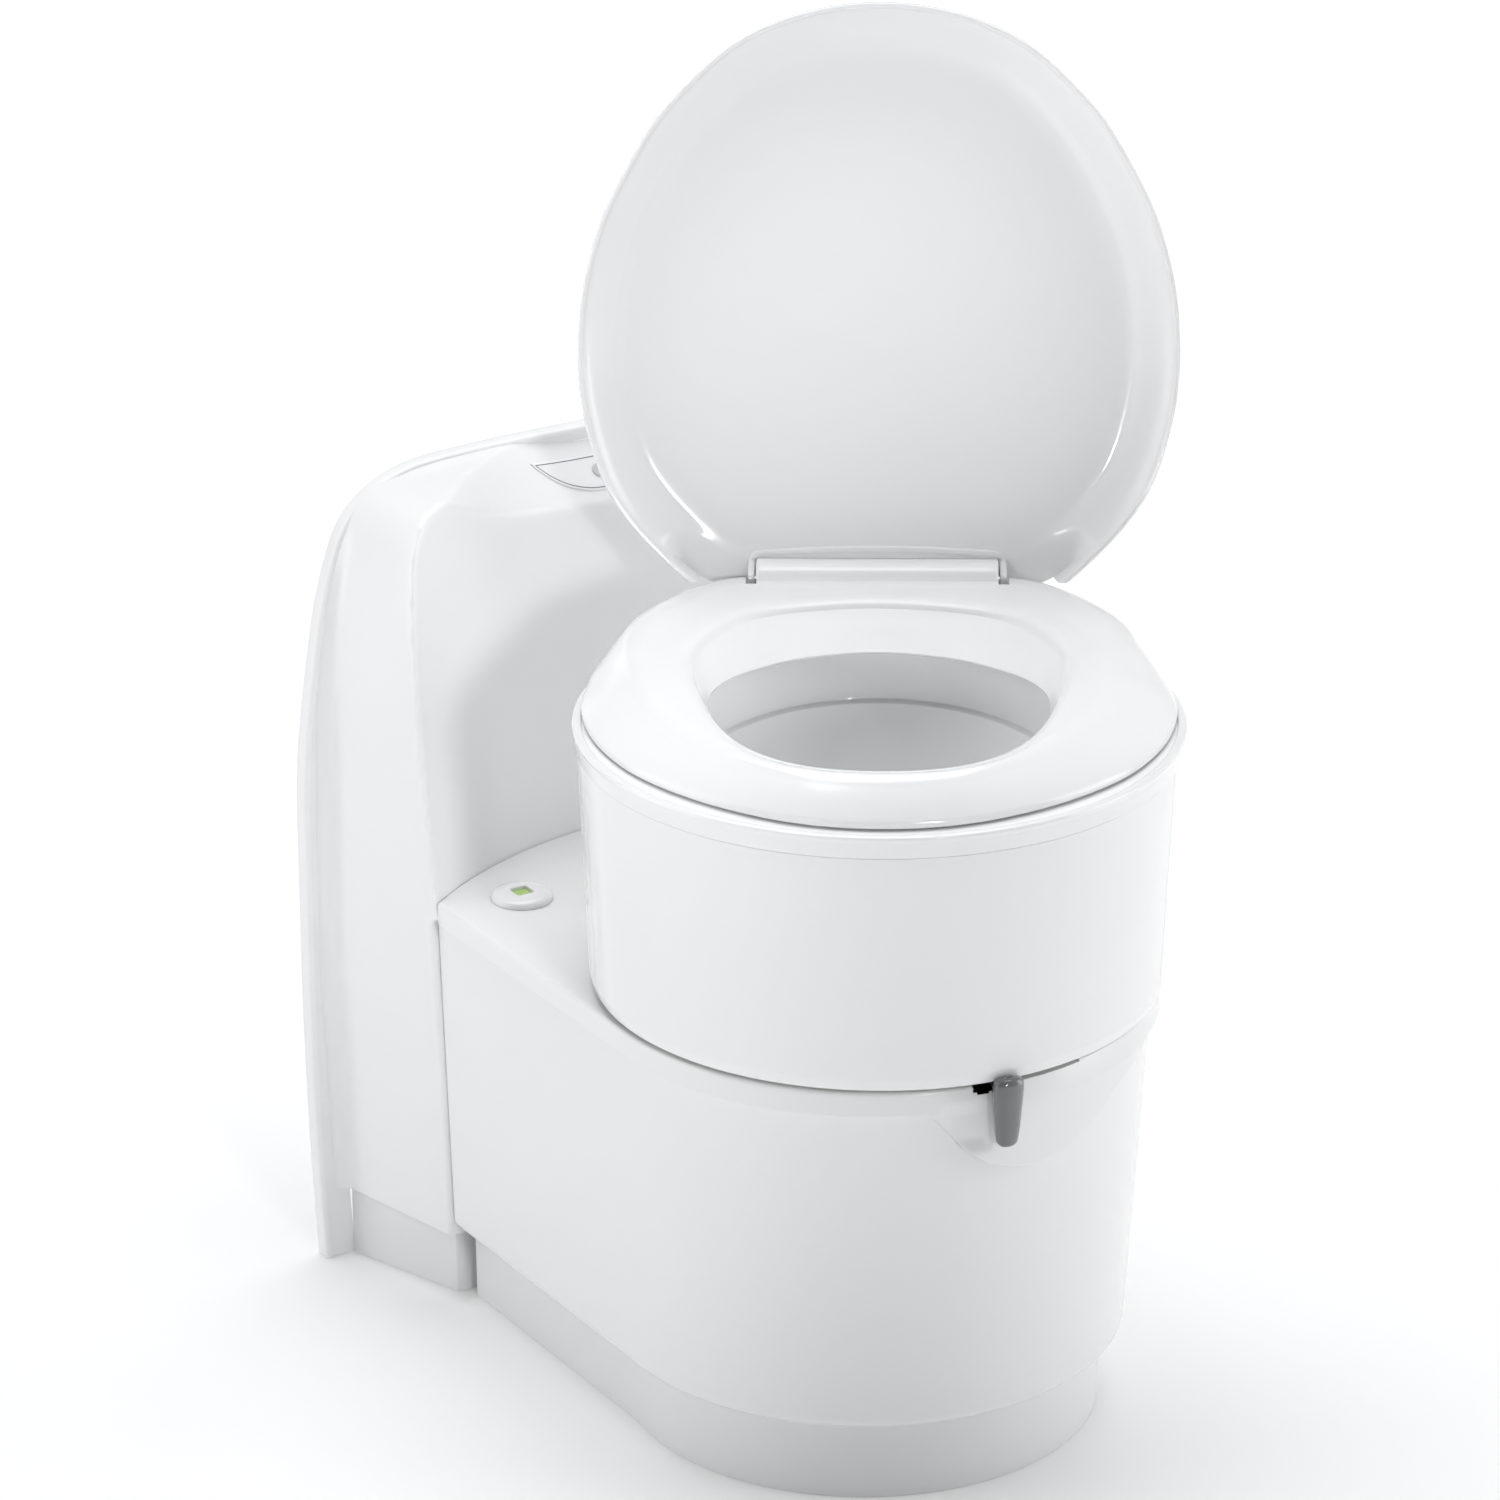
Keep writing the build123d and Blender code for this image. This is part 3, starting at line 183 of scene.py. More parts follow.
def bisect(o, point, normal, clear=True):
    """cuts the mesh with a plane and drops the side that the normal points to"""
    bm = bmesh.new()
    bm.from_mesh(o.data)
    bmesh.ops.bisect_plane(bm, geom=bm.verts[:] + bm.edges[:] + bm.faces[:], plane_co=Vector(point) * MM,
                           plane_no=Vector(normal), clear_outer=clear, clear_inner=False)
    bm.to_mesh(o.data)
    bm.free()
    o.data.update()


def drop_faces(o, test):
    bm = bmesh.new()
    bm.from_mesh(o.data)
    gone = [f for f in bm.faces if test(f.calc_center_median() / MM)]
    bmesh.ops.delete(bm, geom=gone, context="FACES")
    bm.to_mesh(o.data)
    bm.free()
    o.data.update()


def fillet(points, radii, closed=False, seg=5):
    """2D polyline with its corners rounded"""
    pts = [np.array(p, float) for p in points]
    n = len(pts)
    if not hasattr(radii, "__len__"):
        radii = [radii] * n
    out = []
    for i, p in enumerate(pts):
        r = radii[i]
        if r <= 0 or (not closed and i in (0, n - 1)):
            out.append(p)
            continue
        a, b = pts[i - 1], pts[(i + 1) % n]
        u, w = a - p, b - p
        lu, lw = np.linalg.norm(u), np.linalg.norm(w)
        u, w = u / lu, w / lw
        ang = np.arccos(np.clip(np.dot(u, w), -1, 1))
        if ang > pi - 0.02:
            out.append(p)
            continue
        t = min(r / tan(ang / 2), 0.49 * lu, 0.49 * lw)
        r = t * tan(ang / 2)
        c = p + (u + w) / np.linalg.norm(u + w) * (r / sin(ang / 2))
        s, e = p + u * t, p + w * t
        a0 = atan2(*(s - c)[::-1])
        a1 = atan2(*(e - c)[::-1])
        d = (a1 - a0 + pi) % (2 * pi) - pi
        for k in range(seg + 1):
            q = a0 + d * k / seg
            out.append(c + r * np.array([cos(q), sin(q)]))
    return np.array(out)


def spline(points, n, closed=False):
    """smooth curve through points (any dimension), evenly spaced"""
    p = np.asarray(points, float)
    if closed:
        p = np.vstack([p[-2:], p, p[:3]])
        lo, hi = 2, len(p) - 3
    else:
        p = np.vstack([2 * p[0] - p[1], p, 2 * p[-1] - p[-2]])
        lo, hi = 1, len(p) - 2
    out = []
    for i in range(lo, hi):
        p0, p1, p2, p3 = p[i - 1], p[i], p[i + 1], p[i + 2]
        for k in range(24):
            t = k / 24
            out.append(0.5 * (2 * p1 + (p2 - p0) * t + (2 * p0 - 5 * p1 + 4 * p2 - p3) * t * t + (3 * p1 - p0 - 3 * p2 + p3) * t ** 3))
    out.append(p[hi])
    out = np.array(out)
    return resample(out, n, closed)


def resample(p, n, closed=False):
    d = np.r_[0, np.cumsum(np.linalg.norm(np.diff(p, axis=0), axis=1))]
    s = np.linspace(0, d[-1], n + 1)[:-1] if closed else np.linspace(0, d[-1], n)
    return np.stack([np.interp(s, d, p[:, k]) for k in range(p.shape[1])], 1)


def polar(points, angles, centre=(0.0, 0.0), soft=1.0):
    """radius at each angle of a closed outline round a centre, lightly smoothed"""
    c = np.asarray(centre)
    q = spline(points, 1440, True) - c
    a = np.arctan2(q[:, 1], q[:, 0])
    r = np.hypot(q[:, 0], q[:, 1])
    k = np.argsort(a)
    a, r = a[k], r[k]
    a = np.r_[a - 2 * pi, a, a + 2 * pi]
    r = np.r_[r, r, r]
    base = np.linspace(-pi, pi, 721)[:-1]
    v = np.interp(base, a, r)
    if soft > 0:
        f = np.fft.rfft(v)
        w = np.exp(-0.5 * (np.arange(len(f)) / (60.0 / soft)) ** 2)
        v = np.fft.irfft(f * w, len(v))
    return np.interp((np.asarray(angles) + pi) % (2 * pi) - pi, np.r_[base, pi], np.r_[v, v[0]])


def mirror_outline(half):
    """half outline on +x, from front to rear, made whole"""
    return list(half) + [(-x, y) for x, y in reversed(half) if x > 0.01]


def box_mesh(name, lo, hi):
    v = [(x, y, z) for x in (lo[0], hi[0]) for y in (lo[1], hi[1]) for z in (lo[2], hi[2])]
    f = [(0, 1, 3, 2), (4, 6, 7, 5), (0, 4, 5, 1), (2, 3, 7, 6), (0, 2, 6, 4), (1, 5, 7, 3)]
    o = make(name, v, f)
    fix_normals(o)
    return o


def place(o, fn):
    """moves every vertex of a piece, given in mm, through fn"""
    co = np.array([v.co for v in o.data.vertices]) / MM
    co = fn(co) * MM
    o.data.vertices.foreach_set("co", co.astype(np.float32).ravel())
    o.data.update()
    fix_normals(o)
    return o


# ------------------------------------------------------------------ materials
def material(name):
    m = bpy.data.materials.new(name)
    m.use_nodes = True
    nt = m.node_tree
    b = nt.nodes["Principled BSDF"]
    tc = nt.nodes.new("ShaderNodeTexCoord")
    return m, nt, b, tc


def noise(nt, tc, scale, detail=2.0, rough=0.5, stretch=None):
    n = nt.nodes.new("ShaderNodeTexNoise")
    n.inputs["Scale"].default_value = scale
    n.inputs["Detail"].default_value = detail
    n.inputs["Roughness"].default_value = rough
    if stretch:
        mp = nt.nodes.new("ShaderNodeMapping")
        mp.inputs["Scale"].default_value = stretch
        nt.links.new(tc.outputs["Object"], mp.inputs["Vector"])
        nt.links.new(mp.outputs["Vector"], n.inputs["Vector"])
    else:
        nt.links.new(tc.outputs["Object"], n.inputs["Vector"])
    return n


def ramp_to(nt, src, dst, a, b, lo=0.3, hi=0.7):
    r = nt.nodes.new("ShaderNodeMapRange")
    r.inputs["From Min"].default_value = lo
    r.inputs["From Max"].default_value = hi
    r.inputs["To Min"].default_value = a
    r.inputs["To Max"].default_value = b
    nt.links.new(src, r.inputs["Value"])
    nt.links.new(r.outputs["Result"], dst)


def colour_to(nt, src, dst, a, b, lo=0.3, hi=0.7):
    r = nt.nodes.new("ShaderNodeValToRGB")
    r.color_ramp.elements[0].position = lo
    r.color_ramp.elements[0].color = (*a, 1)
    r.color_ramp.elements[1].position = hi
    r.color_ramp.elements[1].color = (*b, 1)
    nt.links.new(src, r.inputs["Fac"])
    nt.links.new(r.outputs["Color"], dst)


def bump_to(nt, b, src, strength, distance):
    bm = nt.nodes.new("ShaderNodeBump")
    bm.inputs["Strength"].default_value = strength
    bm.inputs["Distance"].default_value = distance
    nt.links.new(src, bm.inputs["Height"])
    nt.links.new(bm.outputs["Normal"], b.inputs["Normal"])


def gloss_plastic(name, colour, rough=(0.16, 0.24), coat=0.35, tint=0.012, peel=0.00004):
    m, nt, b, tc = material(name)
    cloud = noise(nt, tc, 9.0, 3.0)
    peeln = noise(nt, tc, 420.0, 2.0, 0.6)
    smear = noise(nt, tc, 26.0, 4.0, 0.62)
    dark = tuple(max(c - tint, 0) for c in colour)
    colour_to(nt, cloud.outputs["Fac"], b.inputs["Base Color"], dark, colour)
    ramp_to(nt, smear.outputs["Fac"], b.inputs["Roughness"], rough[0], rough[1])
    bump_to(nt, b, peeln.outputs["Fac"], 0.25, peel)
    b.inputs["IOR"].default_value = 1.49
    b.inputs["Coat Weight"].default_value = coat
    b.inputs["Coat Roughness"].default_value = 0.09
    return m


def grain_plastic(name, colour, rough=(0.42, 0.58), grain=1400.0, depth=0.00012, tint=0.03, coat=0.0):
    m, nt, b, tc = material(name)
    cloud = noise(nt, tc, 14.0, 4.0)
    g = noise(nt, tc, grain, 3.0, 0.7)
    dark = tuple(c * (1 - tint) for c in colour)
    colour_to(nt, cloud.outputs["Fac"], b.inputs["Base Color"], dark, colour)
    ramp_to(nt, g.outputs["Fac"], b.inputs["Roughness"], rough[0], rough[1])
    bump_to(nt, b, g.outputs["Fac"], 0.5, depth)
    b.inputs["Coat Weight"].default_value = coat
    b.inputs["Coat Roughness"].default_value = 0.2
    return m


def brushed(name, colour, rough=(0.24, 0.4)):
    m, nt, b, tc = material(name)
    s = noise(nt, tc, 600.0, 3.0, 0.6, (1.0, 0.04, 1.0))
    c = noise(nt, tc, 30.0, 3.0)
    b.inputs["Metallic"].default_value = 1.0
    colour_to(nt, c.outputs["Fac"], b.inputs["Base Color"], tuple(v * 0.9 for v in colour), colour)
    ramp_to(nt, s.outputs["Fac"], b.inputs["Roughness"], rough[0], rough[1])
    bump_to(nt, b, s.outputs["Fac"], 0.2, 0.00004)
    return m


def tinted(name, colour, rough=(0.04, 0.1), trans=0.75):
    m, nt, b, tc = material(name)
    c = noise(nt, tc, 60.0, 2.0)
    colour_to(nt, c.outputs["Fac"], b.inputs["Base Color"], tuple(v * 0.94 for v in colour), colour)
    s = noise(nt, tc, 300.0, 2.0)
    ramp_to(nt, s.outputs["Fac"], b.inputs["Roughness"], rough[0], rough[1])
    b.inputs["Transmission Weight"].default_value = trans
    b.inputs["IOR"].default_value = 1.46
    return m


WHITE = (0.83, 0.835, 0.84)
MAT = {
    "stand_white": gloss_plastic("stand_white", (0.83, 0.834, 0.838), (0.22, 0.26), 0.25, 0.006),
    "plinth_white": gloss_plastic("plinth_white", (0.79, 0.795, 0.8), (0.34, 0.40), 0.1, 0.008),
    "bowl_white": gloss_plastic("bowl_white", (0.84, 0.845, 0.85), (0.14, 0.17), 0.5, 0.006),
    "basin_white": gloss_plastic("basin_white", (0.93, 0.933, 0.936), (0.12, 0.2), 0.5),
    "seat_white": gloss_plastic("seat_white", (0.85, 0.852, 0.856), (0.15, 0.18), 0.45, 0.005),
    "lid_white": gloss_plastic("lid_white", (0.84, 0.844, 0.85), (0.18, 0.21), 0.4, 0.005),
    "panel_white": gloss_plastic("panel_white", (0.82, 0.825, 0.83), (0.34, 0.42), 0.0),
    "key_grey": gloss_plastic("key_grey", (0.55, 0.56, 0.57), (0.25, 0.33), 0.1),
    "lever_grey": grain_plastic("lever_grey", (0.15, 0.152, 0.157), (0.14, 0.2), 1800.0, 0.00003, 0.04, 0.8),
    "window_tint": tinted("window_tint", (0.52, 0.74, 0.26)),
    "window_yellow": gloss_plastic("window_yellow", (0.40, 0.60, 0.16), (0.12, 0.2), 0.4, 0.02),
    "tank_grey": grain_plastic("tank_grey", (0.34, 0.36, 0.37)),
    "dark_plastic": grain_plastic("dark_plastic", (0.025, 0.027, 0.03)),
    "accent_blue": gloss_plastic("accent_blue", (0.03, 0.09, 0.22), (0.25, 0.35), 0.1, 0.008),
    "seal_rubber": grain_plastic("seal_rubber", (0.012, 0.012, 0.012), (0.55, 0.7), 900.0, 0.0002, 0.2),
    "steel": brushed("steel", (0.62, 0.62, 0.63)),
    "valve_brass": brushed("valve_brass", (0.62, 0.45, 0.17)),
    "hose_clear": gloss_plastic("hose_clear", (0.5, 0.53, 0.55), (0.25, 0.35), 0.1),
    "board_green": gloss_plastic("board_green", (0.01, 0.09, 0.03), (0.3, 0.45), 0.2, 0.004),
    "bearing_white": grain_plastic("bearing_white", (0.6, 0.6, 0.585), (0.4, 0.5)),
    "panel_line": grain_plastic("panel_line", (0.16, 0.16, 0.165), (0.4, 0.5)),
}


def dress(o, slot, body, *nodes, mat=None):
    o.data.materials.clear()
    o.data.materials.append(MAT[mat or slot])
    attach(o, body)
    if nodes:
        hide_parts(*nodes)
    return o


# every CAD node gets the material of its slot
for sp in frame["record"]["subparts"]:
    n = NODES.get(sp["node"])
    if n is None:
        continue
    n.data.materials.clear()
    n.data.materials.append(MAT[sp["material_slot"]])
    for p in n.data.polygons:
        p.use_smooth = True
    n.data.set_sharp_from_angle(angle=radians(30))

# ------------------------------------------------------------------ camera, lights, floor
AZ, EL = -0.5551025720693303, 0.3889085591755568
rt = Vector((cos(AZ), sin(AZ), 0))
fw = Vector((-sin(AZ) * cos(EL), cos(AZ) * cos(EL), -sin(EL)))
up = rt.cross(fw)
cam_data = bpy.data.cameras.new("camera")
cam = bpy.data.objects.new("camera", cam_data)
bpy.context.scene.collection.objects.link(cam)
cam.matrix_world = Matrix((
    (rt.x, up.x, -fw.x, -1.99329803),
    (rt.y, up.y, -fw.y, -3.06524532),
    (rt.z, up.z, -fw.z, 1.93866665),
    (0, 0, 0, 1)))
cam_data.sensor_width = 36.0
cam_data.lens = 155.6286
cam_data.clip_end = 60
bpy.context.scene.camera = cam

scene = bpy.context.scene
scene.view_settings.view_transform = "Standard"
scene.view_settings.look = "None"
world = bpy.data.worlds.new("studio")
scene.world = world
world.use_nodes = True
world.node_tree.nodes["Background"].inputs[0].default_value = (0.985, 0.992, 1.0, 1)
wt = world.node_tree
wc = wt.nodes.new("ShaderNodeTexCoord")
wd = wt.nodes.new("ShaderNodeVectorMath")
wd.operation = "DOT_PRODUCT"
wd.inputs[1].default_value = (-0.527, -0.85, 0.0)
wt.links.new(wc.outputs["Generated"], wd.inputs[0])
wm = wt.nodes.new("ShaderNodeMapRange")
wm.interpolation_type = "SMOOTHSTEP"
wm.inputs["From Min"].default_value = -0.1
wm.inputs["From Max"].default_value = 0.9
wm.inputs["To Min"].default_value = 0.62
wm.inputs["To Max"].default_value = 0.10
wt.links.new(wd.outputs["Value"], wm.inputs["Value"])
wt.links.new(wm.outputs["Result"], wt.nodes["Background"].inputs[1])


def area(name, loc, target, size, power, colour=(1, 1, 1)):
    d = bpy.data.lights.new(name, "AREA")
    d.shape = "RECTANGLE"
    d.size, d.size_y = size
    d.energy = power
    d.color = colour
    o = bpy.data.objects.new(name, d)
    scene.collection.objects.link(o)
    o.location = loc
    o.rotation_euler = (Vector(target) - Vector(loc)).to_track_quat("-Z", "Y").to_euler()
    return o


COOL = (0.985, 0.992, 1.0)
area("top", (0.2, 0.6, 3.2), (0, 0, 0.4), (2.4, 2.4), 52, COOL)
area("right", (2.5, -1.7, 1.1), (0, 0, 0.3), (1.8, 2.2), 33, COOL)
area("left", (-2.3, 1.2, 1.0), (-0.1, 0, 0.3), (1.8, 2.2), 19, COOL)
beam = area("lid_beam", (-1.9, -0.9, 0.95), (0.10, 0.17, 0.72), (0.3, 0.3), 0.19, COOL)
beam.data.spread = radians(15)
beam = area("back_beam", (-0.55, -2.3, 1.0), (-0.2, 0.3, 0.32), (0.3, 0.6), 0.32, COOL)
beam.data.spread = radians(16)

bm = bmesh.new()
bmesh.ops.create_grid(bm, x_segments=8, y_segments=8, size=15.0)
fm = bpy.data.meshes.new("floor")
bm.to_mesh(fm)
bm.free()
floor = bpy.data.objects.new("floor", fm)
scene.collection.objects.link(floor)
floor.location.z = -0.0003
m, nt, b, tc = material("floor_white")
b.inputs["Base Color"].default_value = (0.86, 0.86, 0.86, 1)
b.inputs["Roughness"].default_value = 0.6
b.inputs["Emission Color"].default_value = (1, 1, 1, 1)
b.inputs["Emission Strength"].default_value = 0.1
# painted glow and painted shade: the floor emits light, faintly close to the object and more strongly further out, so
# the far floor glows white and a dimmer pool lies round the object
far = nt.nodes.new("ShaderNodeVectorMath")
far.operation = "LENGTH"
nt.links.new(tc.outputs["Object"], far.inputs[0])
painted_floor_glow = nt.nodes.new("ShaderNodeMapRange")
painted_floor_glow.inputs["From Min"].default_value = 0.6
painted_floor_glow.inputs["From Max"].default_value = 3.5
painted_floor_glow.inputs["To Min"].default_value = 0.12
painted_floor_glow.inputs["To Max"].default_value = 0.5
nt.links.new(far.outputs["Value"], painted_floor_glow.inputs["Value"])
nt.links.new(painted_floor_glow.outputs["Result"], b.inputs["Emission Strength"])
fm.materials.append(m)

# ------------------------------------------------------------------ lower body, plinth, kick box
def u_path(half, cy, rear, n_side=26, n_arc=120, inset=0.0):
    """open path round the front: from the right rear corner to the left rear corner"""
    h = half - inset
    y = np.linspace(rear, cy, n_side)[:-1]
    a = np.linspace(0, -pi, n_arc)
    right = np.stack([np.full_like(y, h), y], 1)
    arc = np.stack([h * np.cos(a), cy + h * np.sin(a)], 1)
    left = right[::-1] * [-1, 1]
    return np.vstack([right, arc, left])


def body_ring(z, inset=0.0, rear=246.0):
    k = (z - 54.3) / (287.0 - 54.3)
    half = 165.0 + (173.4 - 165.0) * k
    cy = 14.2 + (5.1 - 14.2) * k
    p = u_path(half, cy, rear, inset=inset)
    return np.c_[p, np.full(len(p), z)]


prof = fillet([(30, 54.3), (0, 54.3), (0, 275.4)], [0, 8, 0], seg=8)
zs = [(i, z) for i, z in prof]
tall = [(0, z) for z in np.linspace(63, 275.4, 26)]
zs = [q for q in zs if q[1] < 62.6] + tall
g = [body_ring(z, i) for i, z in zs]
body = rings("v_lower_body", g, close_u=False)
outward(body, (0, 80, 160))
shell(body, 3.0)
smooth_all(body)
dress(body, "stand_white", "stand", "lower_body")


def closed_outline(points, n):
    return resample(np.vstack([points, points[:1]]), n, True)


# plinth: rounded ring standing on the floor, drawn in slightly at its foot
def plinth_ring(z, inset):
    r = 150.9 - inset
    hw = 148.0 - inset
    a0 = -np.arcsin(np.clip((40 - 15) / r, -1, 1))
    ang = np.linspace(-pi + 0.0, 0.0, 90)
    arc = np.stack([r * np.cos(ang), 15 + r * np.sin(ang)], 1)
    ys = np.linspace(45, 250 - inset, 24)
    xs = np.where(ys < 60, hw + (60 - ys) / 45 * 1.5, hw)
    right = np.stack([xs, ys], 1)
    rear = np.stack([np.linspace(hw, -hw, 20)[1:-1], np.full(18, 250.0 - inset)], 1)
    left = right[::-1] * [-1, 1]
    p = np.vstack([arc, right, rear, left])
    return np.c_[p, np.full(len(p), z)]


prof = fillet([(0.0, 54.4), (0.6, 0.0), (4.4, 0.0), (4.0, 54.4)], [0.4, 0.9, 0.6, 0.4], closed=True, seg=3)
extra = [(0.6 * (54.4 - z) / 54.4, z) for z in np.linspace(48, 6, 6)]
order = []
for i, z in prof:
    order.append((i, z))
k = max(i for i, q in enumerate(order) if q[1] > 50 and q[0] < 1)
order = order[:k + 1] + extra + order[k + 1:]
pl = rings("v_plinth", [plinth_ring(z, i) for i, z in order], close_u=True, close_v=True)
dress(pl, "plinth_white", "stand", "plinth")

# low box behind
kick = []
for i, z in fillet([(0.0, 49.8), (0.5, 0.0), (3.6, 0.0), (3.2, 49.8)], [0.5, 0.8, 0.5, 0.4], closed=True, seg=3):
    base = fillet([(-186.0 + i, 347.9), (-155.9 + i * 0.9, 259.4 + i), (155.9 - i * 0.9, 259.4 + i), (186.0 - i, 347.9)], [0, 5, 5, 0], seg=6)
    kick.append(np.c_[resample(base, 120), np.full(120, z)])
kb = rings("v_kick_box", np.transpose(np.array(kick), (1, 0, 2)), close_u=True, close_v=False, cap=(True, True))
dress(kb, "plinth_white", "stand", "rear_kick_box")

# ------------------------------------------------------------------ shoulder with its band, shield and slot
SHIELD = [(-25, 277.0), (-23, 275.5), (-21, 273.0), (-19.6, 268.8), (-17, 259.0), (-14.3, 249.6), (-9.2, 239.0),
          (-4.3, 234.0), (0, 232.6), (5.2, 233.6), (10, 238.0), (15.6, 246.2), (19, 253.0), (22, 259.0),
          (26, 264.5), (30, 269.0), (35, 273.5), (40, 276.0), (42, 277.0)]
SH = spline(SHIELD, 400)
R_SH, CY_SH = 176.5, 5.1
R_PIT = 163.0


def band_low(deg):
    z = np.interp(deg, SH[:, 0], SH[:, 1], left=277, right=277)
    # soft lower limit at the band's edge
    return np.where(z > 275.7, 275.7, z)


def shoulder_path():
    arc_y = sqrt(298.0 ** 2 - R_SH ** 2)
    y = np.linspace(arc_y, CY_SH, 40)[:-1]
    right = np.stack([np.full_like(y, R_SH), y], 1)
    a = np.linspace(0, -pi, 361)
    arc = np.stack([R_SH * np.cos(a), CY_SH + R_SH * np.sin(a)], 1)
    left = right[::-1] * [-1, 1]
    th = np.linspace(atan2(arc_y, -R_SH), atan2(arc_y, R_SH), 60)[1:-1]
    rear = np.stack([298.0 * np.cos(th), 298.0 * np.sin(th)], 1)
    return np.vstack([right, arc, left, rear])


path = shoulder_path()
nxt, prv = np.roll(path, -1, 0), np.roll(path, 1, 0)
tan_ = nxt - prv
tan_ /= np.linalg.norm(tan_, axis=1)[:, None]
nrm = np.stack([-tan_[:, 1], tan_[:, 0]], 1)
if np.sum((path - path.mean(0)) * nrm) < 0:
    nrm = -nrm
bearing = np.degrees(np.arctan2(path[:, 0], -(path[:, 1] - CY_SH)))   # 0 straight ahead, + to +x
front = path[:, 1] < CY_SH + 1
low = np.where(front, band_low(bearing), 275.7)
on_rear = np.hypot(path[:, 0], path[:, 1]) > 297.5
skirt_out = np.where(on_rear, 0.0, 1.6 + np.where(front, np.clip((275.7 - low) / 8.0, 0, 1) * 1.3, 0.0))
smooth_step = lambda x: x * x * (3 - 2 * x)
rows = []
# outside wall, bottom edge up to the deck, then over to the bore
T_W = 4.4
top = 290.7
prof = [(-T_W, "low", 3.0), (-T_W, "low", 0.6), (-T_W + 0.5, "low", 0.0), (-0.6, "low", 0.0), (-0.15, "low", 0.3), (0.0, "low", 1.0)]
for off, kind, dz in prof:
    s = skirt_out * 1.0
    rows.append(np.c_[path + nrm * (off + s)[:, None], low + dz])
for k in np.linspace(0.06, 0.96, 26):
    z = low + 1.0 + (top - 2.2 - low - 1.0) * k
    s = skirt_out * np.clip((top - 1.5 - z) / (top - 1.5 - 275.7), 0, 1)
    rows.append(np.c_[path + nrm * s[:, None], z])
for a in np.linspace(0, pi / 2, 7):
    rows.append(np.c_[path + nrm * (-2.2 + 2.2 * cos(a)), np.full(len(path), top - 2.2 + 2.2 * sin(a))])
ctr = np.array([0.0, 0.0])
ang = np.arctan2(path[:, 1], path[:, 0])
bore = np.stack([129.0 * np.cos(ang), 129.0 * np.sin(ang)], 1)
edge = path + nrm * -2.2
for k in (0.06, 0.16, 0.3, 0.48, 0.66, 0.84, 1.0):
    q = edge + (bore - edge) * k
    rows.append(np.c_[q, np.full(len(path), top)])
for z in (290.0, 287.2):
    rows.append(np.c_[bore, np.full(len(path), z)])
inner = path + nrm * -T_W
for k in (0.84, 0.6, 0.3, 0.0):
    q = inner + (bore - inner) * k
    rows.append(np.c_[q, np.full(len(path), 287.2)])
rows = np.array(rows)
# finger hollow in the shield at the left of the lever
rad = np.hypot(rows[..., 0], rows[..., 1] - CY_SH)
brg = np.degrees(np.arctan2(rows[..., 0], -(rows[..., 1] - CY_SH)))
wall = (rad > 174.5) & (rows[..., 1] < -60) & (rows[..., 2] < 289.6)
gx = np.clip(1 - np.abs(brg + 14.0) / 7.4, 0, 1)
gz = np.clip(1 - np.abs(rows[..., 2] - 265) / 19.0, 0, 1)
depth = smooth_step(np.clip(gx * 1.6, 0, 1)) * smooth_step(np.clip(gz * 1.6, 0, 1)) * 3.6
sc = np.where(wall, (rad - depth) / np.maximum(rad, 1), 1.0)
rows[..., 0] *= sc
rows[..., 1] = CY_SH + (rows[..., 1] - CY_SH) * sc
sh = rings("v_shoulder", rows, close_u=True, close_v=True)


def wedge(name, a0, a1, r0, r1, z0, z1, n=24):
    a = np.radians(np.linspace(a0, a1, n)) - pi / 2
    ins = np.stack([r0 * np.cos(a), r0 * np.sin(a)], 1)
    out = np.stack([r1 * np.cos(a), r1 * np.sin(a)], 1)
    lp = np.vstack([ins, out[::-1]])
    return rings(name, [np.c_[lp, np.full(len(lp), z0)], np.c_[lp, np.full(len(lp), z1)]], True, False, (True, True))


boolean(sh, wedge("c1", -13.4, 12.4, 147, 230, 289.1, 300))
boolean(sh, wedge("c2", -13.4, -8.6, 147, 172.0, 280.0, 300))
boolean(sh, wedge("c4", -8.7, 12.4, 147, R_PIT, 280.0, 300))
boolean(sh, wedge("c3", -12.6, -10.0, 150, 230, 285.4, 300))
smooth_all(sh, 30)
dress(sh, "stand_white", "stand", "shoulder_deck")

# ------------------------------------------------------------------ bowl: skirts, collar, basin
BOWL_Y = -3.0


def bowl_rev(name, prof, a0, a1, n, closed=False):
    """profile (r, z) turned about the bowl's axis between two bearings from the bowl's front"""
    a = np.radians(np.linspace(a0, a1, n + (0 if closed else 1), endpoint=not closed)) - pi / 2
    g = []
    for q in a:
        g.append([(r * cos(q), BOWL_Y + r * sin(q), z) for r, z in prof])
    g = turned(np.array(g))
    if closed:
        return rings(name, g, True, True)
    return swept(name, g)


SK = fillet([(173.6, 295.6), (176.2, 295.6), (178.0, 303.0), (184.2, 448.4), (181.0, 448.4), (174.6, 303.0)],
            [0.5, 1.6, 8, 0.2, 0.2, 6], closed=True, seg=4)


def densify(p, step):
    out = []
    n = len(p)
    for i in range(n):
        a, b = p[i], p[(i + 1) % n]
        k = max(1, int(np.linalg.norm(b - a) / step))
        for j in range(k):
            out.append(a + (b - a) * j / k)
    return np.array(out)


SK = densify(SK, 14.0)
fsk = bowl_rev("v_bowl_front", SK, -74.62, 74.62, 150)
dress(fsk, "bowl_white", "bowl", "bowl_front_skirt")
rsk = bowl_rev("v_bowl_rear", SK, 74.78, 360 - 74.78, 170)
dress(rsk, "bowl_white", "bowl", "bowl_rear_skirt")
COL = fillet([(178.6, 448.7), (185.0, 448.7), (185.9, 459.0), (186.9, 461.2), (186.6, 463.0), (181.3, 463.0), (180.6, 459.4)],
             [0.3, 1.0, 2.5, 0.8, 0.9, 0.8, 0.3], closed=True, seg=4)
col = bowl_rev("v_collar", COL, 0, 360, 256, True)
dress(col, "bowl_white", "bowl", "bowl_collar")

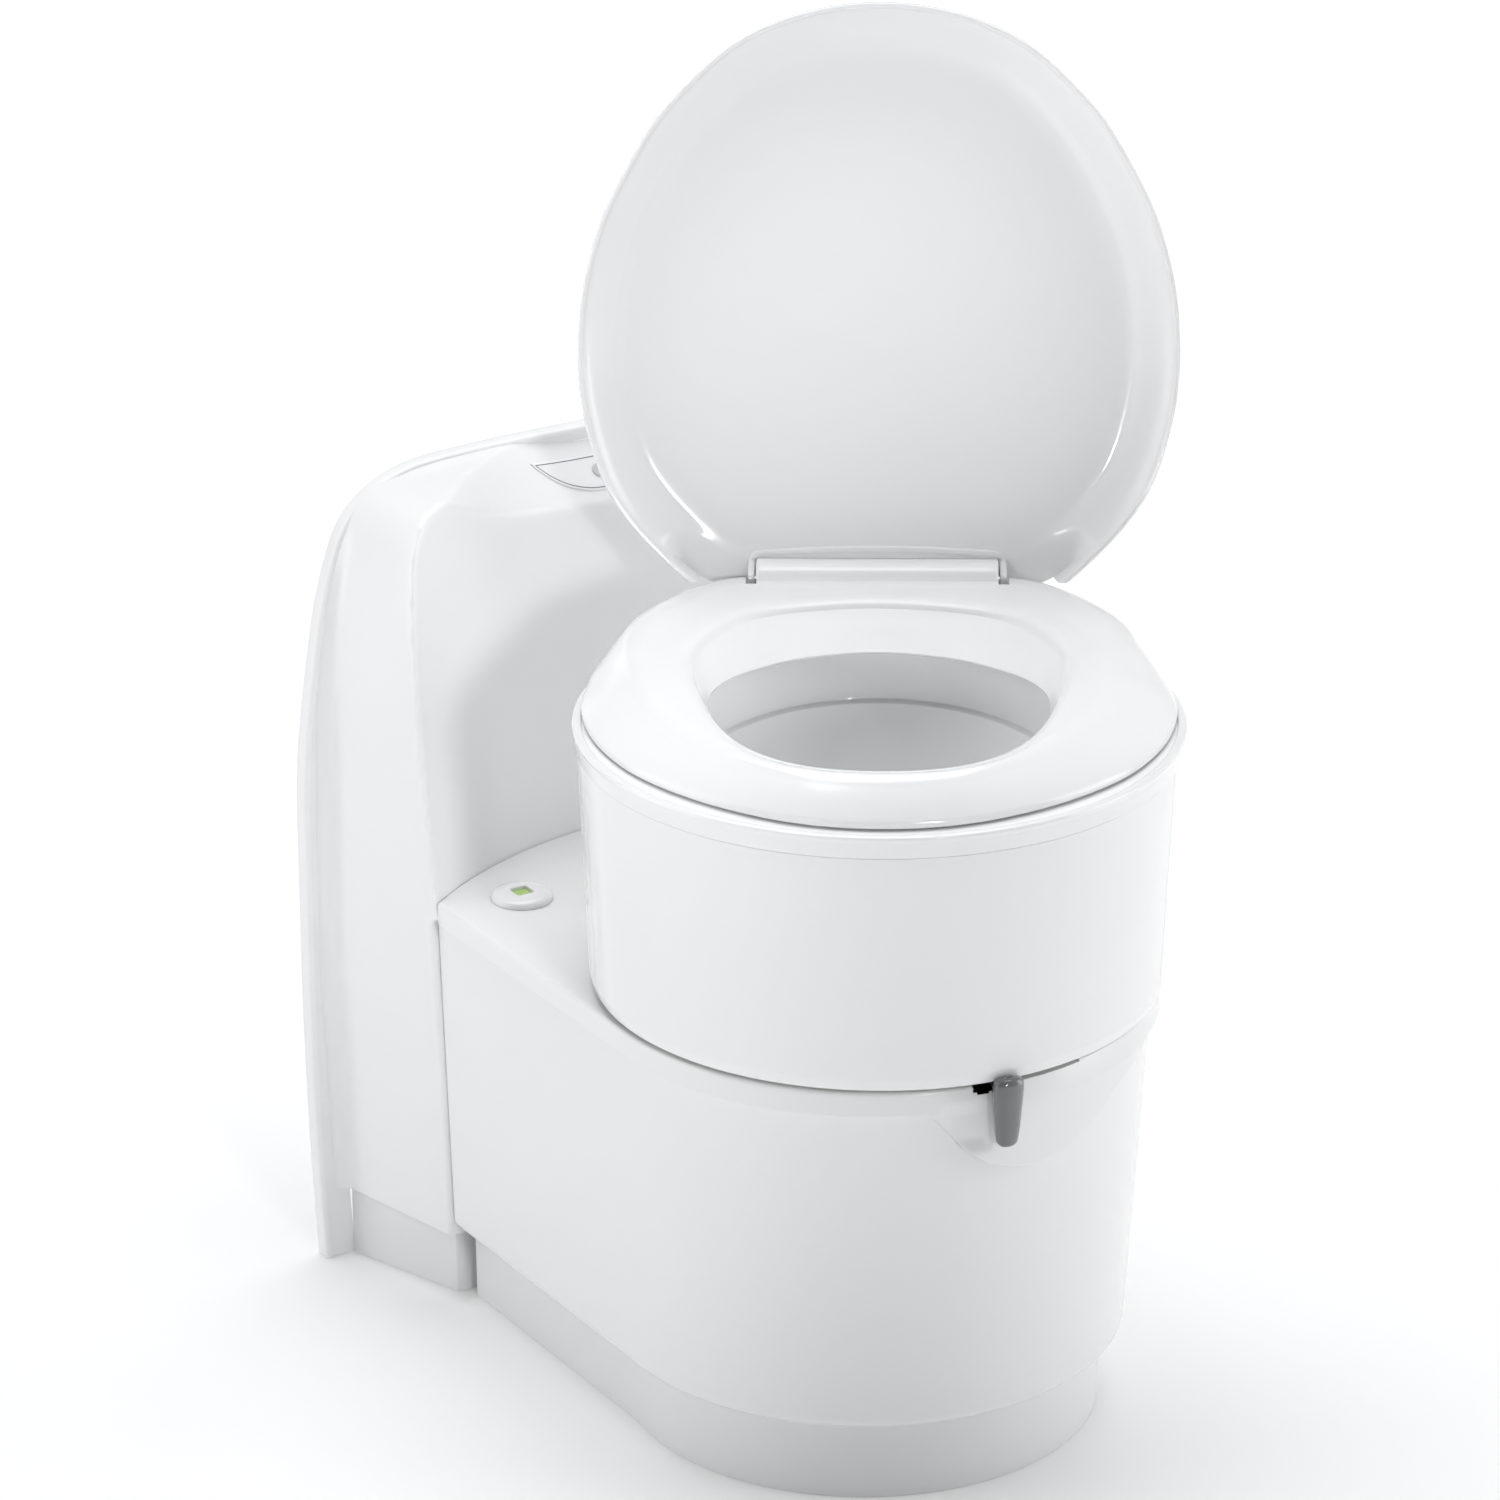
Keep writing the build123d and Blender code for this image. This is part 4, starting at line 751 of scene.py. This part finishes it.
A = np.linspace(-pi, pi, 193)[:-1]
BAS = [  # z, centre y, half widths: inside of the basin from the rim down
    (462.4, -16, 121.0, 135.0), (461.2, -16, 120.0, 134.0), (455, -16, 119.3, 133.2), (440, -15.5, 117.6, 131.0), (430.6, -15, 116.4, 129.6),
    (428.9, -15, 115.9, 129.0), (428.2, -15, 114.6, 127.7), (427.8, -15, 113.0, 126.1), (427.0, -15, 112.2, 125.2), (424, -15, 111.6, 124.4), (410, -14, 108.6, 119.6), (395, -12, 103.5, 112.0),
    (380, -10, 97.5, 104.0), (366, -7.5, 88, 93.5), (353, -5, 75, 79.5), (343, -3, 62, 65), (335, -1.2, 51, 52.5), (328, -0.4, 44.5, 45), (322, 0, 41.5, 41.5), (300, 0, 41.1, 41.1), (270, 0, 41, 41), (241.0, 0, 41, 41), (240.4, 0, 41.6, 41.6)]
rr = []
for z, cy, a_, b_ in BAS:
    rr.append([(a_ * cos(t), cy + b_ * sin(t), z) for t in A])
OUT = [(240.4, 0, 43.6, 43.6), (241, 0, 44, 44), (321, 0, 44, 44), (333, -1, 54, 55.5), (352, -5, 78.5, 83), (380, -10, 101, 107.6), (410, -14, 112, 123), (424, -15, 115, 128), (426, -15, 119, 132.4), (440, -15.5, 121, 134.4), (456, -16, 122.6, 136.4), (459.4, -16, 124, 138)]
for z, cy, a_, b_ in OUT:
    rr.append([(a_ * cos(t), cy + b_ * sin(t), z) for t in A])
for r_, z in ((170, 459.4), (180.9, 459.4), (181.1, 459.8), (181.1, 462.0), (180.7, 462.4), (150, 462.4)):
    if r_ == 150:
        rr.append([(0.5 * (180.7 + 128) * cos(t), BOWL_Y - 6 + 0.5 * (180.7 + 140) * sin(t), z) for t in A])
    else:
        rr.append([(r_ * cos(t), BOWL_Y + r_ * sin(t), z) for t in A])
ib = rings("v_inner_bowl", turned(np.array(rr)), True, True)
dress(ib, "basin_white", "bowl", "inner_bowl")

# ------------------------------------------------------------------ seat
SEAT_BASE = [(0, -179), (36, -175), (70.5, -162), (110, -136), (145, -100), (166, -62), (177, -28), (181.7, 5), (179.8, 28), (176.4, 58), (168.2, 88), (157.6, 114), (139.8, 141), (125.8, 158), (112.8, 171), (97.8, 178.8), (82, 181.2)]
SEAT_CREST = [(0, -162), (30, -158.5), (57, -149), (94, -120), (120, -87), (140, -48), (150, -15), (153, 5), (154.5, 28), (158.6, 55), (156.4, 85), (149, 110), (133, 137), (120, 154), (108, 167), (96, 175), (82, 177.5)]
HOLE_TOP = [(0, -143), (40, -137), (70, -117), (92, -80), (106, -30), (113, 15), (112, 50), (100, 83), (80, 107), (52, 122), (0, 130)]
HOLE_LOW = [(0, -128), (38, -122), (66, -103), (86, -70), (99, -28), (104, 5), (102, 28), (92, 50), (74, 68), (46, 86), (0, 96)]
NA = 320
A = np.linspace(-pi, pi, NA + 1)[:-1] + 1e-6
rear_fill_b = [(50, 181.5), (0, 181.5)]
rear_fill_c = [(50, 178), (0, 178)]
rB = polar(mirror_outline(SEAT_BASE + rear_fill_b), A, (0, 0), 3.4)
rC = polar(mirror_outline(SEAT_CREST + rear_fill_c), A, (0, 0), 3.4)
rT = polar(mirror_outline(HOLE_TOP), A, (0, 0), 2.5)
rL = polar(mirror_outline(HOLE_LOW), A, (0, 0), 2.5)
rT = np.minimum(rT, rC - 14)


def mixr(a, b, w):
    return a + (b - a) * w


def seat_ring(r, z):
    z = np.broadcast_to(z, r.shape)
    return np.stack([r * np.cos(A), r * np.sin(A), z], 1)


S = []
S.append(seat_ring(rB - 2.6, 464.4))
S.append(seat_ring(rB - 2.0, 463.85))
S.append(seat_ring(rB - 1.0, 463.8))
S.append(seat_ring(rB - 0.25, 464.2))
S.append(seat_ring(rB, 465.4))
S.append(seat_ring(rB - 0.4, 467.6))
for w in np.linspace(0.04, 0.90, 10):
    S.append(seat_ring(mixr(rB - 0.6, rC + 0.5, w), 468.2 + 16.6 * w + 1.3 * np.sin(pi * w)))
# crest
d = rC - rT
for off, z in ((0.4, 485.0), (-1.6, 486.5), (-4.4, 487.7), (-8.0, 488.5)):
    S.append(seat_ring(rC + off * np.minimum(1, d / 24), z))
for w in (0.25, 0.5, 0.75):
    S.append(seat_ring(mixr(rC - 10, rT + 11, w), 489.0 - 0.25 * abs(w - 0.5)))
for off, z in ((10.0, 488.6), (6.5, 488.1), (3.4, 487.0), (1.2, 485.2), (0.0, 483.0)):
    S.append(seat_ring(rT + off * np.minimum(1, d / 24), z))
for w in np.linspace(0.1, 1.0, 8):
    S.append(seat_ring(mixr(rT, rL, w) - 0.6 * np.sin(pi * w), 482.6 - 15.4 * w))
for off, z in ((0.5, 466.0), (1.5, 465.3), (2.6, 465.4), (3.0, 466.2)):
    S.append(seat_ring(rL + off, z))
for w in (0.3, 0.6, 0.9):
    S.append(seat_ring(mixr(rL, rT, w) + 3.2, 467.0 + 14.4 * w))
S.append(seat_ring(mixr(rT + 4, rC - 4, 0.2), 485.4))
S.append(seat_ring(mixr(rT + 4, rC - 4, 0.8), 485.4))
for w in (0.9, 0.5, 0.1):
    S.append(seat_ring(mixr(rB, rC, w) - 3.0, 466.8 + 15.6 * w))
seat = rings("v_seat", turned(np.array(S)), True, True)
# gap at the rear for the barrel and the lid's arms, with its walls
boolean(seat, place(box_mesh("c", (-83.0, 157.6, 440), (83.0, 220, 520)), turned))
for n_, lo_, hi_ in (("v_seat_gap_front", (-84.0, 154.6, 465.8), (84.0, 157.7, 486.4)), ("v_seat_gap_left", (-85.6, 154.6, 465.8), (-83.0, 176.0, 484.0)), ("v_seat_gap_right", (83.0, 154.6, 465.8), (85.6, 176.0, 484.0))):
    o_ = box_mesh(n_, lo_, hi_)
    place(o_, turned)
    dress(o_, "seat_white", "seat_part")
smooth_all(seat, 32)
dress(seat, "seat_white", "seat_part", "seat")

# barrel that wraps the hinge rod, moulded on the seat's rear
ang_ = np.radians(np.linspace(-45, 150, 40))
brl = np.array([(HY + 14.5 * cos(t), HZ + 14.5 * sin(t)) for t in ang_] + [(HY - 14.2, 489.5), (HY - 17.5, 489.0), (HY - 21.0, 488.2), (HY - 22.5, 478.0), (HY - 23.2, 468.0), (HY - 23.4, 465.4), (HY - 8.0, 465.2), (HY + 4.0, 465.2), (HY + 7.6, 469.4)])
xs = [-76.2, -75.9, -75.2, -74.0, -60, -45, -30, -15, 0, 15, 30, 45, 60, 74.0, 75.2, 75.9, 76.2]
cen = brl.mean(0)
g = []
for x in xs:
    e = max(0.0, abs(x) - 74.0)
    k = 1.0 - (0.0 if e == 0 else (1 - sqrt(max(0, 1 - (e / 2.3) ** 2))) * 1.6 / 16)
    arch = 1.0 + 0.0 * x
    g.append([(x, *(cen + (p - cen) * k)) for p in brl])
bar = swept("v_seat_barrel", turned(np.array(g)))


def rod_clear(o, x0, x1, r):
    a = np.linspace(0, 2 * pi, 41)[:-1]
    gg = [[(x, HY + r * cos(t), HZ + r * sin(t)) for t in a] for x in (x0, x1)]
    c = swept("c", turned(np.array(gg)))
    return boolean(o, c)


rod_clear(bar, -90, 90, 4.06)
for x0 in (-56.4, 43.6):
    for prof_ in ([(157.4, 460), (205, 460), (205, HZ + 10.3), (HY, HZ), (HY - 12.4, 479), (157.4, 471)],
                  [(HY + 10.8 * cos(t), HZ + 10.8 * sin(t)) for t in np.linspace(0, 2 * pi, 41)[:-1]]):
        boolean(bar, swept("c", turned(np.array([[(x, *q_) for q_ in prof_] for x in (x0, x0 + 12.8)]))))
smooth_all(bar, 34)
dress(bar, "seat_white", "seat_part")

# ------------------------------------------------------------------ lid
LID = [(104, -9), (114.8, -3), (122.8, 5), (134.8, 16), (150.8, 33), (164.3, 50), (173.8, 68), (184.8, 108), (187.8, 131), (187.8, 160), (183.8, 196), (171.8, 237), (162.8, 255), (142.8, 290.8), (128.8, 308.2), (98.3, 337.7), (80.3, 349.2), (44.3, 362.7), (0, 368.2)]
NL = 360
LA_ = np.linspace(-pi, pi, NL + 1)[:-1] + 1e-6
half = list(LID)
full = [(50, -9.3), (0, -9.3)][::-1] + half + [(-x, y) for x, y in reversed(half[:-1])] + [(-50, -9.3)]
C_L = (0.0, 168.0)
q = np.array(full, float)
rO = polar([(x, y) for x, y in q], LA_, C_L, 4.0)


def lid_ring(inset, n, blend=0.0):
    r = rO - inset
    if blend > 0:
        mean = np.mean(r)
        r = r + (mean * 0.0 + r.mean() - r) * blend
    return np.stack([C_L[0] + r * np.cos(LA_), C_L[1] + r * np.sin(LA_), np.broadcast_to(n, r.shape)], 1)


R = []
# inside: rim edge, sloped wall, flat dished face
R.append(lid_ring(0.0, 9.6))
R.append(lid_ring(0.05, 10.8))
R.append(lid_ring(0.5, 11.7))
R.append(lid_ring(1.4, 12.0))
R.append(lid_ring(2.4, 11.7))
R.append(lid_ring(3.1, 10.8))
R.append(lid_ring(3.6, 9.4))
for w in np.linspace(0.08, 0.86, 9):
    R.append(lid_ring(3.8 + 24.5 * w ** 1.25, 8.8 - 15.6 * w ** 0.9, 0))
for off, n in ((27.2, -7.4), (30.5, -8.5), (34.5, -9.2), (40, -9.6)):
    R.append(lid_ring(off, n))
base_r = rO - 40
for k in (0.86, 0.7, 0.52, 0.34, 0.18, 0.06):
    r = base_r * k
    R.append(np.stack([C_L[0] + r * np.cos(LA_), C_L[1] + r * np.sin(LA_), np.full(NL, -9.6 - 0.9 * (1 - k))], 1))
n_in = len(R)
cen_in = len(R) - 1
# outside: side, rounded back edge, crowned back
Bk = []
Bk.append(lid_ring(0.2, 6.0))
Bk.append(lid_ring(0.9, 0.0))
Bk.append(lid_ring(2.0, -5.5))
for off, n in ((3.6, -8.6), (6.4, -10.9), (10.5, -12.3), (16, -13.0)):
    Bk.append(lid_ring(off, n))
base_b = rO - 16
for k in (0.9, 0.74, 0.56, 0.38, 0.2, 0.06):
    r = base_b * k
    Bk.append(np.stack([C_L[0] + r * np.cos(LA_), C_L[1] + r * np.sin(LA_), np.full(NL, -13.0 - 0.4 * (1 - k * k))], 1))
allr = np.array(R[::-1] + Bk)
away = np.hypot(np.maximum(np.abs(allr[..., 0]) - 122, 0), np.maximum(allr[..., 1] - 22, 0)) / 15.0
away = np.clip(away, 0, 1)
keep = 0.05 + 0.95 * away * away * (3 - 2 * away)
keep[n_in - 7:] = 1.0
allr[..., 2] = np.where(allr[..., 2] > -7.2, -7.2 + (allr[..., 2] + 7.2) * keep, allr[..., 2])
lid = rings("v_lid", lid_space(allr), True, False, (True, True))
# notch for the barrel and the frame's own wall round it
c = box_mesh("c", (-76.8, -60, -40), (76.8, 9.0, 40))
boolean(lid, place(c, lid_space))
rod_clear(lid, -76.8, 76.8, 15.3)
c = box_mesh("c", (-140, -40, -9.0), (140, 2.0, 40))
boolean(lid, place(c, lid_space))
c = box_mesh("c", (-130, -40, -40), (130, -8.2, 40))
boolean(lid, place(c, lid_space))
rod_clear(lid, -82.5, 82.5, 4.06)
smooth_all(lid, 34)
dress(lid, "lid_white", "lid_part", "lid")

# raised frame: two arms and an arched top bar, one strip 4 mm wide
top_pts = [(x, 15.7 + 3.4 * (1 - (x / 79.4) ** 2)) for x in np.linspace(-74, 74, 25)]
cl = [(-79.4, -7.0), (-79.4, 2.0), (-79.4, 9.0)] + [(-78.5, 13.6)] + [tuple(p) for p in top_pts] + [(78.5, 13.6), (79.4, 9.0), (79.4, 2.0), (79.4, -7.0)]
cl = resample(spline(cl, 400), 150)
tn = np.gradient(cl, axis=0)
tn /= np.linalg.norm(tn, axis=1)[:, None]
nm = np.stack([-tn[:, 1], tn[:, 0]], 1)
sec = fillet([(-2.0, -11.8), (2.3, -11.8), (2.3, 13.0), (-2.0, 13.0)], [0.3, 0.3, 1.5, 1.5], closed=True, seg=4)
g = []
for i in range(len(cl)):
    rise = np.clip((13.0 - cl[i, 1]) / 9.0, 0, 1) if abs(cl[i, 0]) > 77 else 0.0
    peak = -6.6 + 13.6 * rise * rise * (3 - 2 * rise)
    row = []
    for a_, n_ in sec:
        p = cl[i] + nm[i] * a_
        row.append((p[0], p[1], n_ if n_ < 0 else n_ - 13.0 + peak))
    g.append(row)
fr = swept("v_lid_frame", lid_space(np.array(g)))
rod_clear(fr, -82.5, 82.5, 4.06)
smooth_all(fr, 34)
dress(fr, "lid_white", "lid_part")

# ------------------------------------------------------------------ backrest and wall flange
BACK_REAR = [(189.5, 30), (194.5, 150), (197, 223), (196.5, 328), (194, 397), (188.5, 450), (181, 495), (171, 521), (152, 535), (100, 541), (50, 543), (0, 543.5)]
BACK_FORE = [(167.0, 30), (171, 150), (175, 223), (179.5, 290), (181, 340), (180.5, 420), (177, 480), (168, 517), (150, 533), (100, 538), (50, 540), (0, 540.5)]


def arch(points, n=140):
    h = spline(points, n)
    return np.vstack([h, (h[:-1] * [-1, 1])[::-1]])


fo, re_ = arch(BACK_FORE), arch(BACK_REAR)
FLANGE = [(206, 0), (210.5, 88), (213, 189), (213.3, 295), (211, 364.5), (199, 448), (187, 493), (176, 515), (160, 530), (138, 540), (109.5, 544.5), (54, 546.4), (0, 546.4)]
ou_ = spline(FLANGE, 600)
g = []
for t, f in ((-0.14, 0), (0.0, 0), (0.25, 0), (0.5, 0), (0.75, 0), (0.93, 0), (0.958, 0.8), (0.977, 2.2), (0.99, 4.4), (1.0, 6.6), (1.02, 8.6), (1.12, 9.0)):
    p = fo + (re_ - fo) * min(t, 1.0)
    if f:
        tt = np.gradient(p, axis=0)
        tt /= np.linalg.norm(tt, axis=1)[:, None]
        nn_ = np.stack([tt[:, 1], -tt[:, 0]], 1)
        if nn_[5, 0] * p[5, 0] < 0:
            nn_ = -nn_
        gap = np.array([np.min(np.hypot(ou_[:, 0] - abs(q_[0]), ou_[:, 1] - q_[1])) for q_ in p])
        p = p + nn_ * np.minimum(f, np.maximum(gap - 2.2, 0))[:, None]
    y = 247 + 101 * t
    g.append([(a_, y, b_) for a_, b_ in p])
bk = rings("v_backrest", g, True, False, (True, True))
# hollow leaning front
cone = []
for z in (276.0, 290.0, 560.0):
    r = 298.3 + 0.10 * (z - 290)
    cone.append([(r * cos(t), r * sin(t), z) for t in np.linspace(0, 2 * pi, 241)[:-1]])
boolean(bk, rings("c", cone, True, False, (True, True)))
boolean(bk, box_mesh("c", (-230, 200, 0), (230, 247, 276.4)))
# scooped slope of the top
s48, c48 = sin(radians(48)), cos(radians(48))
cyl = []
for s_ in (-150, 150):
    ring_ = []
    for t in np.linspace(0, 2 * pi, 321)[:-1]:
        u, v = 240 * cos(t), 240 + 240 * sin(t)
        # v runs out of the slope, s_ along it
        ring_.append((u, 333 - v * s48 + s_ * c48, 517.75 + v * c48 + s_ * s48))
    cyl.append(ring_)
boolean(bk, rings("c", cyl, True, False, (True, True)))
remesh(bk, 2.0, 14, 0.5)
bisect(bk, (0, 349.6, 0), (0, 1, 0))
bisect(bk, (0, 0, 50.0), (0, 0, -1))
for x in (156.0, -156.0):
    bisect(bk, (x, 0, 0), (1, 0, 0), clear=False)
bisect(bk, (0, 0, 270.6), (0, 0, 1), clear=False)
drop_faces(bk, lambda c: abs(c.x) < 156 and c.z < 270.6 and c.y < 252)
outward(bk, (0, 330, 300))
shell(bk, 3.0)
smooth_all(bk, 40)
dress(bk, "stand_white", "stand", "backrest")

FLANGE = [(206, 0), (210.5, 88), (213, 189), (213.3, 295), (211, 364.5), (199, 448), (187, 493), (176, 515), (160, 530), (138, 540), (109.5, 544.5), (54, 546.4), (0, 546.4)]
FLANGE_IN = [(184, 0), (188.5, 88), (191.5, 189), (191.6, 295), (190, 364.5), (182, 448), (174.5, 493), (164, 512), (150, 522), (134, 531), (107.5, 535), (54, 536.5), (0, 536.5)]
ou = spline(FLANGE, 150)
ou[:, 0] = np.minimum(ou[:, 0], 213.1)
ou[:, 1] = np.maximum(ou[:, 1], 0.0)
inn = spline(FLANGE_IN, 150)
tn = np.gradient(ou, axis=0)
tn /= np.linalg.norm(tn, axis=1)[:, None]
nm = np.stack([tn[:, 1], -tn[:, 0]], 1)          # outwards for a curve going up on +x
if nm[10, 0] < 0:
    nm = -nm


def flange_row(i):
    o_, n_ = ou[i], nm[i]
    w = inn[i]
    F = 348.0
    sec = [(o_ - n_ * 0.9, 359.7), (o_ - n_ * 0.2, 359.3), (o_, 358.4), (o_, F + 2.6), (o_ - n_ * 0.3, F + 1.2), (o_ - n_ * 1.1, F + 0.3), (o_ - n_ * 2.2, F), (o_ - n_ * 3.8, F + 0.1), (o_ - n_ * 4.8, F + 0.7),
           (o_ - n_ * 6.0, F + 1.4), (w + n_ * 3, F + 1.6), (w, F + 1.7), (w, 359.7)]
    return [(p[0], y, p[1]) for p, y in sec]


right = np.array([flange_row(i) for i in range(150)])
left = (right[:-1] * [-1, 1, 1])[::-1]
fl = swept("v_flange", np.concatenate([right, left]), 38)
dress(fl, "stand_white", "stand", "wall_flange")

# ------------------------------------------------------------------ control panel on the slope
def panel_space(p):
    """(across, up the slope, out of the slope) to the frame, mm; bends with the scoop"""
    p = np.asarray(p, float)
    u, v, n = p[..., 0], p[..., 1], p[..., 2]
    lift = 240 - np.sqrt(240 ** 2 - u ** 2)
    n = n + lift
    return np.stack([u, 333 + v * c48 - n * s48, 517.75 + v * s48 + n * c48], -1)


def segment_outline(w, top_v, low_v, n=80):
    """flat edge at the rear, arc at the front"""
    r = (w * w + (top_v - low_v) ** 2) / (2 * (top_v - low_v))
    cv = low_v + r
    a1 = np.arcsin(w / r)
    a = np.linspace(-a1, a1, n)
    arc = np.stack([r * np.sin(a), cv - r * np.cos(a)], 1)
    line = np.stack([np.linspace(w, -w, n // 2)[1:-1], np.full(n // 2 - 2, top_v)], 1)
    return np.vstack([arc, line])


def plate(name, outlines, cap_rings=4):
    """rings of (outline, n) closed with shrinking rings over the top"""
    g = [np.c_[o_, np.full(len(o_), n_)] for o_, n_ in outlines]
    last, n_ = outlines[-1]
    c_ = last.mean(0)
    for k in np.linspace(1, 0, cap_rings + 1)[1:-1]:
        g.append(np.c_[c_ + (last - c_) * k, np.full(len(last), n_)])
    return rings(name, panel_space(np.array(g)), True, False, (True, True))


def seg_off(d):
    return segment_outline(48.4 - d * 1.9, 13.8 - d, -11.7 + d * 1.0)


pn = plate("v_panel", [(seg_off(0.0), -2.0), (seg_off(0.0), 0.5), (seg_off(0.3), 0.9), (seg_off(0.8), 1.0)])
dress(pn, "panel_white", "stand", "control_panel")
ln = rings("v_panel_line", panel_space(np.array([np.c_[seg_off(1.5), np.full(len(seg_off(0)), z)] if k == 0 else np.c_[seg_off(2.1), np.full(len(seg_off(0)), z)]
           for k, z in ((0, 0.9), (0, 1.12), (1, 1.12), (1, 0.9))])), True, True)
dress(ln, "panel_white", "stand", mat="panel_line")

# ------------------------------------------------------------------ level window
cx, cy = -127.5, 218.0
a = np.linspace(0, 2 * pi, 97)[:-1]
sq = []
for t in a:
    k = 6.0 / max(abs(cos(t)), abs(sin(t)))
    k = min(k, 7.6)
    sq.append((k * cos(t), k * sin(t)))
sq = np.array(sq)
g = []
for r, z in ((19.6, 290.7), (20.0, 291.1), (20.0, 291.9), (19.6, 293.3), (18.4, 294.6), (16.2, 295.5), (13.6, 296.0), (11.5, 296.2)):
    g.append([(cx + r * cos(t), cy + r * sin(t), z) for t in a])
for k, z in ((1.10, 296.2), (1.03, 296.05), (1.0, 295.6), (1.0, 293.4), (1.0, 291.2)):
    g.append([(cx + p[0] * k, cy + p[1] * k, z) for p in sq])
for r, z in ((12, 290.2), (19, 290.2)):
    g.append([(cx + r * cos(t), cy + r * sin(t), z) for t in a])
bz = rings("v_level_bezel", g, True, True)
dress(bz, "bowl_white", "stand", "level_bezel")
g = [[(cx + p[0] * k, cy + p[1] * k, z) for p in sq] for k, z in ((0.97, 291.3), (0.97, 293.6), (0.93, 294.2), (0.8, 294.6), (0.55, 294.9), (0.25, 295.0), (0.05, 295.0))]
lw = rings("v_level_window", g, True, False, (True, True))
dress(lw, "window_tint", "stand", "level_window", mat="window_yellow")

# ------------------------------------------------------------------ valve lever
LV = radians(-7.7) - pi / 2
ld = np.array([cos(LV), sin(LV)])
la = np.array([-sin(LV), cos(LV)])
# height, half width, inner radius, outer radius, place of the ridge
LEV = [(300.3, 1.5, 184.6, 185.4), (300.0, 4.4, 183.4, 187.2), (298.9, 7.4, 182.0, 189.0), (296.6, 9.1, 180.9, 190.1), (293.4, 9.6, 180.3, 190.4), (288.0, 9.4, 180.4, 190.0), (281.0, 8.9, 180.5, 189.4),
       (273.0, 8.3, 180.6, 188.7), (266.0, 7.8, 180.7, 188.0), (260.4, 7.2, 180.9, 187.4), (257.4, 6.6, 181.1, 187.0), (255.8, 5.6, 181.5, 186.6), (254.8, 4.2, 182.2, 185.9), (254.4, 2.4, 182.9, 185.2), (254.3, 0.8, 183.6, 184.4)]
lv = spline(np.array(LEV), 60)
g = []
for z, w, ri, ro in lv:
    tt = np.linspace(0, pi, 25)
    secp = [(w * cos(t), ri + (ro - ri) * (0.32 + 0.68 * sin(t) ** 0.75)) for t in tt] + [(-w, ri + 1.0), (-w + 1.0, ri), (w - 1.0, ri), (w, ri + 1.0)]
    g.append([(ld[0] * r + la[0] * s_, ld[1] * r + la[1] * s_, z) for s_, r in secp])
lev = swept("v_lever", np.array(g), 50)
dress(lev, "lever_grey", "lever", "blade_lever")
